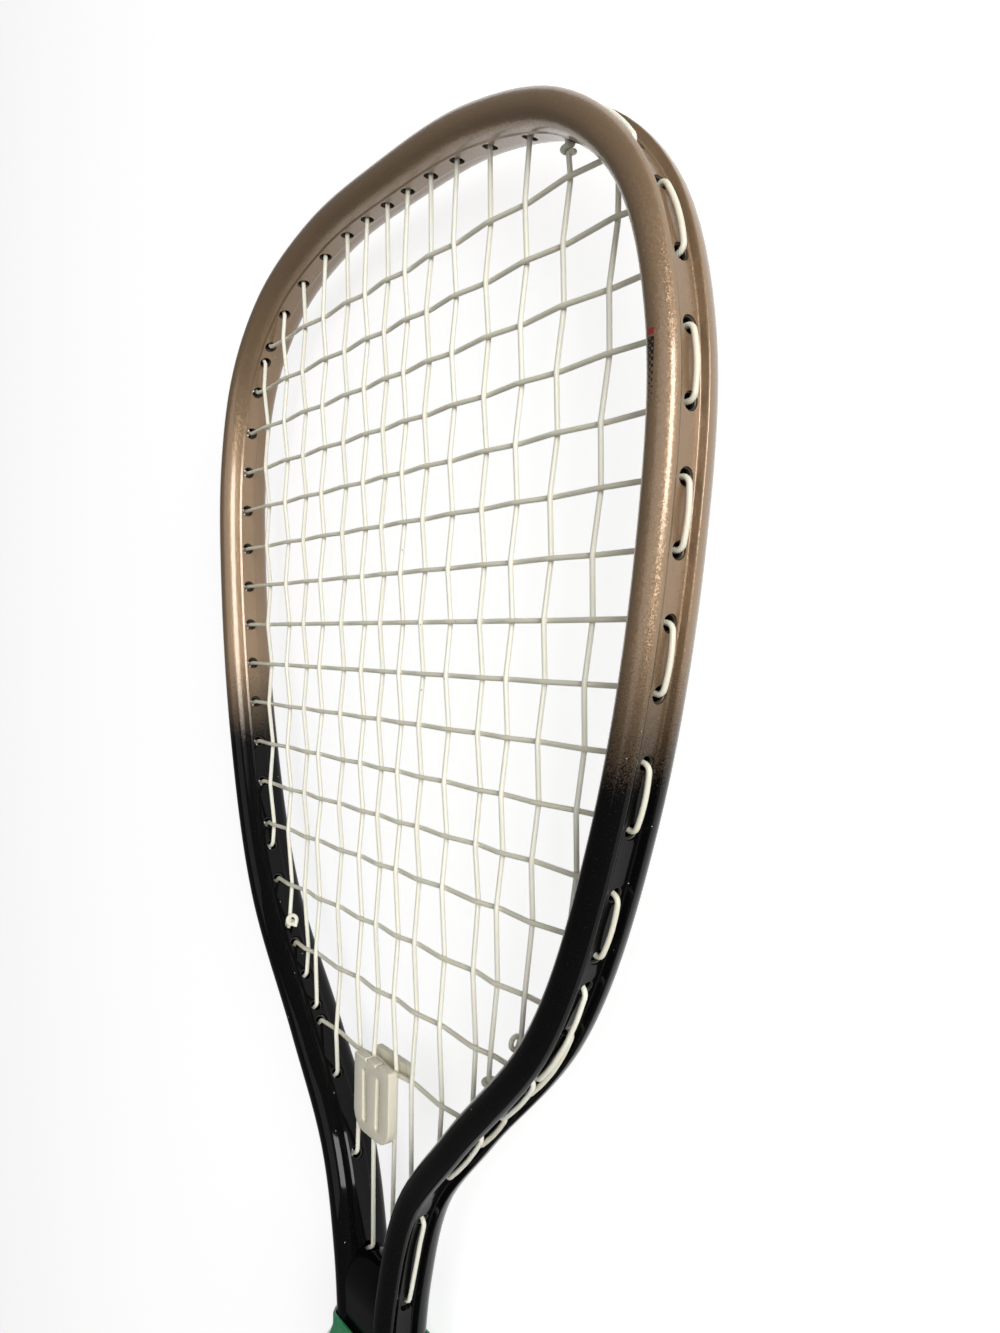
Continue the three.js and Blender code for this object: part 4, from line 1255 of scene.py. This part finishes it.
# %% Stacks of eight-sided rings
CORNER_STEPS, CORNER_ROUND, CORNER_ROOM_SHARE, LEAST_ROUND = 5, 2.2 * MM, 0.45, 0.01 * MM
HALF_CORNER = math.radians(67.5)
OCTAGON_SHARE = 2 - math.sqrt(2)
PALLET_HALF_WIDTH, PALLET_HALF_DEPTH, PALLET_CHAMFER = 14.2 * MM, 12.2 * MM, 6 * MM


def octagon(w, d, c):
    """A closed ring of half width w, half depth d and chamfer c, its eight corners rounded."""
    quarter = [(w, c - d), (w, d - c), (w - c, d), (c - w, d)]
    points = np.array([*quarter, *[(-x, -z) for x, z in quarter]])
    sides = np.linalg.norm(points - np.roll(points, 1, axis=0), axis=1)
    room = min(sides) * CORNER_ROOM_SHARE * math.tan(HALF_CORNER)
    return rounded(points, np.full(8, max(min(CORNER_ROUND, room), LEAST_ROUND)), CORNER_STEPS)


def ring_stack(name, rings):
    """Joins rings, each (y, half width, half depth, chamfer), and the last to the first."""
    return loft(name, [
        [(x, y, STRING_PLANE + z) for x, z in octagon(*sizes)] for y, *sizes in rings
    ])


def ring_at(y, offset, offset_z=None):
    """A ring that lies this far outside the pallets."""
    deep = offset if offset_z is None else offset_z
    chamfer = PALLET_CHAMFER + (offset + deep) / 2 * OCTAGON_SHARE
    return y, PALLET_HALF_WIDTH + offset, PALLET_HALF_DEPTH + deep, chamfer


print("a ring has", len(octagon(*ring_at(0, 0)[1:])), "points")

# %% [markdown]
# ## Collar
# A soft green rubber collar covers the top of the grip. Its rim hugs both shafts, then it
# swells like a bell to the size of the grip. It is glossy and a little translucent, so it is
# lighter where light passes through its thin lip.

# %% Green rubber collar
FIT_GAP = 0.3 * MM
GRIP_WALL, TAPE_WALL = 1.5 * MM, 0.4 * MM
COLLAR_WALL, COLLAR_LIP = 1.7 * MM, 0.7 * MM
COLLAR_RIM_LENGTH, COLLAR_FLARE = 3 * MM, 12.5 * MM
RIM_CHAMFER = 2.4 * MM
FLARE_STEPS = 10

# Wet-looking green with a soft depth, the one strong colour on the racket.
green_rubber = two_tone(
    "moulded translucent green rubber", "#2a7c52", "#3f9a6b", 7 * MM, 4.0,
    (1.5 * MM, 0.2, 0.1 * MM), Roughness=0.24, IOR=1.5, Subsurface_Weight=0.3,
    Subsurface_Scale=2 * MM, Coat_Weight=0.3, Coat_Roughness=0.12,
)

collar_low, collar_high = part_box("grip_collar")
rim_y, collar_end = collar_high.y, collar_low.y
shaft_x = on_tube(find(rim_y, 1, 0, WIDEST, SHAFT_END))[0]
rim_x, rim_z = shaft_x + TUBE_WIDTH / 2 + YOKE_GAP, TUBE_DEPTH / 2 + YOKE_GAP


def rim_ring(y, wall):
    return y, rim_x + wall, rim_z + wall, RIM_CHAMFER + wall / 2


def flare(low, high):
    """Rings from one to another, whose sizes start and end softly."""
    shares = np.linspace(0, 1, FLARE_STEPS)
    sizes = [
        [a + (b - a) * share * share * (3 - 2 * share) for a, b in zip(low[1:], high[1:])]
        for share in shares
    ]
    return [(y, *size) for y, size in zip(np.linspace(low[0], high[0], FLARE_STEPS), sizes)]


def collar():
    neck, shoulder = rim_y - COLLAR_RIM_LENGTH, rim_y - COLLAR_FLARE
    inside = 3 * FIT_GAP + GRIP_WALL + TAPE_WALL
    outside = inside + COLLAR_WALL
    soft, edge = COLLAR_LIP / 3, COLLAR_WALL / 3
    return ring_stack("green_collar", [
        rim_ring(rim_y, soft), rim_ring(rim_y - soft / 3, COLLAR_LIP - soft / 3),
        rim_ring(rim_y - soft, COLLAR_LIP),
        *flare(rim_ring(neck, COLLAR_LIP), ring_at(shoulder, outside)),
        ring_at(collar_end + edge, outside), ring_at(collar_end + edge / 4, outside - edge / 4),
        ring_at(collar_end, outside - edge), ring_at(collar_end, inside),
        *flare(ring_at(shoulder, inside), rim_ring(neck, 0)), rim_ring(rim_y, 0),
    ])


dress(collar(), green_rubber, "collar_rubber", "grip_collar")

# %% [markdown]
# ## Grip and its tape
# The grip is one long strip of black rubber, wound in a spiral up the handle, each turn
# lapping over the last. Its face is ribbed so that a wet hand holds it. The wrap lies close on
# the pallets, and rises where it covers the skirt of the butt cap.

# %% Black rubber and its seat
UNDER_WRAP = 0.3 * MM
SKIRT_WALL, SKIRT_LENGTH, STAPLE_STAND = 1.2 * MM, 20 * MM, 0.8 * MM
SKIRT_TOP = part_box("butt_cap")[1].y
WRAP_END, WRAP_TOP = (corner.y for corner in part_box("grip_wrap"))

# Dull and dry, with a grain that breaks every highlight, so that it looks made for a hand.
grip_rubber = two_tone(
    "ribbed black rubber", "#161617", "#29292a", 0.5 * MM, 3.0, (0.5 * MM, 0.4, 0.08 * MM),
    Roughness=0.72, IOR=1.5,
)


def seat_at(y):
    """How far the wrap's inner face lies outside the pallets, at the side and at the front."""
    over = FIT_GAP + SKIRT_WALL
    fall = min(1.0, max(0.0, (SKIRT_TOP + SKIRT_LENGTH / 2 - y) / (SKIRT_LENGTH / 2)))
    return FIT_GAP + over * fall, FIT_GAP + (over + STAPLE_STAND) * fall


def wrap_ring(y, thickness=UNDER_WRAP):
    side, front = seat_at(y)
    return ring_at(y, side + thickness, front + thickness)


print("the wrap rises", round((seat_at(WRAP_END)[1] - FIT_GAP) / MM, 1), "mm over the skirt")

# %% [markdown]
# The strip's middle goes round the octagon at an even rate while it climbs, and each place
# carries the direction that faces outwards. The section lies a little tilted, so that each
# turn laps over the last.

# %% Spiral and section
TURN_PITCH, STRIP_LAP = 19 * MM, 1.6 * MM
STRIP_THICKNESS, STRIP_TILT = 0.95 * MM, 0.35 * MM
RIB_PITCH, RIB_HEIGHT, RIB_STEPS = 2.6 * MM, 0.35 * MM, 4
RING_POINTS = 8 * (CORNER_STEPS + 1)


def strip_spiral():
    """Places of the wound strip's middle, with the direction that faces outwards."""
    turns = (WRAP_TOP - WRAP_END - TURN_PITCH - STRIP_LAP) / TURN_PITCH
    nominal = octagon(*ring_at(0, GRIP_WALL)[1:])
    steps = np.linalg.norm(np.roll(nominal, -1, axis=0) - nominal, axis=1)
    round_share = np.append(0, np.cumsum(steps)[:-1]) / sum(steps)
    points, facings = [], []
    for i in range(round(turns * RING_POINTS) + 1):
        whole, k = divmod(i, RING_POINTS)
        y = WRAP_END + (TURN_PITCH + STRIP_LAP) / 2 + (whole + round_share[k]) * TURN_PITCH
        ring = octagon(*wrap_ring(y)[1:])
        run = unit(ring[(k + 1) % RING_POINTS] - ring[k - 1])
        points.append((ring[k][0], y, STRING_PLANE + ring[k][1]))
        facings.append((run[1], 0, -run[0]))
    return points, facings


def strip_section():
    """The strip's section as (outwards, along the handle), ribbed on its outer side."""
    half = (TURN_PITCH + STRIP_LAP) / 2
    ribs = round(2 * half / RIB_PITCH)
    outer = []
    for share in np.linspace(0, 1, RIB_STEPS * ribs + 1):
        rib = RIB_HEIGHT / 2 * (1 - math.cos(2 * math.pi * share * ribs))
        out = STRIP_THICKNESS - RIB_HEIGHT + rib + STRIP_TILT * share
        outer.append((out, -half + 2 * half * share))
    return [(STRIP_TILT / 2, half), (0, -half), *outer]


spiral_points, facings = strip_spiral()
spiral = carrier("spiral", spiral_points, "facing", facings)
section = wire("strip_section", strip_section())
print("the spiral has", len(spiral_points), "places")

# %% [markdown]
# The tree keeps the section square to the octagon by the stored directions. Under the ribbed
# turns lies a smooth first one, which closes the gaps that the spiral leaves at its ends.

# %% The wound strip
wound, given = geometry_tree("wound strip", Section="Object")
facing = node(wound, "GeometryNodeInputNamedAttribute", "facing", data_type="FLOAT_VECTOR")
path = node(wound, "GeometryNodeMeshToCurve", given["Geometry"])
turned = {"Curve": path, "Normal": facing}
path = node(wound, "GeometryNodeSetCurveNormal", turned, mode="FREE")
shape = node(wound, "GeometryNodeObjectInfo", given["Section"], out="Geometry")
swept = {"Curve": path, "Profile Curve": shape, "Fill Caps": True}
end_tree(wound, given, node(wound, "GeometryNodeCurveToMesh", swept))

strip = outwards(grow(spiral, "grip_strip", wound, Section=section, Finish=grip_rubber))
bpy.data.objects.remove(section)
dress(strip, grip_rubber, "grip_rubber", "grip_wrap")

under = [WRAP_TOP, SKIRT_TOP + SKIRT_LENGTH / 2, SKIRT_TOP + FIT_GAP, WRAP_END]
rings = [wrap_ring(y) for y in under] + [wrap_ring(y, 0) for y in under[::-1]]
dress(ring_stack("grip_first_turn", rings), grip_rubber, "grip_rubber", "grip_wrap")

# %% [markdown]
# A few turns of thin stretched vinyl hold the wrap's upper end. A plain sleeve would look too
# perfect, so its material has a slow creased bump, as tape has where it was pulled round the
# corners of the handle.

# %% Finishing tape
shiny_tape = two_tone(
    "black vinyl tape", "#0e0e0f", "#161618", 4 * MM, 3.0, (4 * MM, 0.3, 0.2 * MM),
    Roughness=0.3, IOR=1.5,
)
tape_low, tape_high = (corner.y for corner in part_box("finishing_tape"))
tape_inside = 2 * FIT_GAP + GRIP_WALL
tape_outside = tape_inside + TAPE_WALL
tape_rings = [
    ring_at(tape_high, tape_outside), ring_at(tape_low, tape_outside),
    ring_at(tape_low, tape_inside), ring_at(tape_high, tape_inside),
]
dress(ring_stack("vinyl_tape", tape_rings), shiny_tape, "grip_tape", "finishing_tape")

# %% [markdown]
# ## Butt cap
# The cap is moulded from hard black plastic. Its skirt goes up under the grip, and the knob
# below stops the hand. All its outer edges are rounded, and a round hole in its end takes a
# wrist cord.

# %% Butt cap
CAP_FLOOR = 3 * MM
KNOB_ROUND, BUTT_ROUND, ROUND_STEPS = 1.6 * MM, 0.9 * MM, 5
TETHER_RADIUS, COUNTERSINK, COUNTERSINK_SHARE = 3 * MM, 0.3 * MM, 1.15
CELLS = "ShaderNodeTexVoronoi"

# A moulded grain that greys the highlights, so that it looks harder and cheaper than the grip.
cap_plastic = two_tone(
    "moulded black plastic", "#141416", "#1c1d1f", 0.6 * MM, 0.0, (0.6 * MM, 0.3, 0.05 * MM),
    kind=CELLS, Roughness=0.45, IOR=1.5,
)


def butt_cap():
    low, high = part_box("butt_cap")
    knob_x = high.x - PALLET_HALF_WIDTH
    knob_z = STRING_PLANE - low.z - PALLET_HALF_DEPTH
    skirt = FIT_GAP + SKIRT_WALL
    knob_top = WRAP_END - FIT_GAP
    rings = [ring_at(SKIRT_TOP, skirt), ring_at(knob_top, skirt)]
    turns = np.linspace(0, math.pi / 2, ROUND_STEPS)
    for turn in turns:
        drop = KNOB_ROUND * (1 - math.cos(turn)) / 2
        lack = KNOB_ROUND * (1 - math.sin(turn)) / 2
        rings.append(ring_at(knob_top - drop, knob_x - lack, knob_z - lack))
    for turn in turns:
        rise, lack = (BUTT_ROUND * (1 - share) for share in (math.sin(turn), math.cos(turn)))
        rings.append(ring_at(low.y + rise, knob_x - lack, knob_z - lack))
    hole = (TETHER_RADIUS, TETHER_RADIUS, TETHER_RADIUS * OCTAGON_SHARE)
    wide = [value * COUNTERSINK_SHARE for value in hole]
    rings += [
        (low.y, *wide), (low.y + COUNTERSINK, *hole), (low.y + CAP_FLOOR, *hole),
        ring_at(low.y + CAP_FLOOR, FIT_GAP), ring_at(SKIRT_TOP, FIT_GAP),
    ]
    return ring_stack("cap_moulding", rings)


dress(butt_cap(), cap_plastic, "cap_plastic", "butt_cap")

# %% [markdown]
# ## Inside the handle
# The two half pallets of rigid foam and the staples that hold the cap are hidden by the grip.
# Their solids have the right shape already, so they stay, and only get their finishes: pale
# foam with open cells, which look chalky, and bright wire with a faint cloud in its plating.

# %% Foam and steel
foam = two_tone(
    "moulded rigid foam", "#b29c70", "#cfbb93", 0.8 * MM, 0.0, (0.8 * MM, 0.5, 0.15 * MM),
    kind=CELLS, Roughness=0.85, IOR=1.5,
)
steel = two_tone("plated steel wire", "#a6a9ad", "#c3c6ca", 0.7 * MM, Metallic=1, Roughness=0.32)
hidden = {
    "handle_pallet_front": foam, "handle_pallet_back": foam,
    "butt_staple_front": steel, "butt_staple_back": steel,
}
for name, finish in hidden.items():
    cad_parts[name].data.materials.clear()
    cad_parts[name].data.materials.append(finish)
print("kept solids:", ", ".join(hidden))
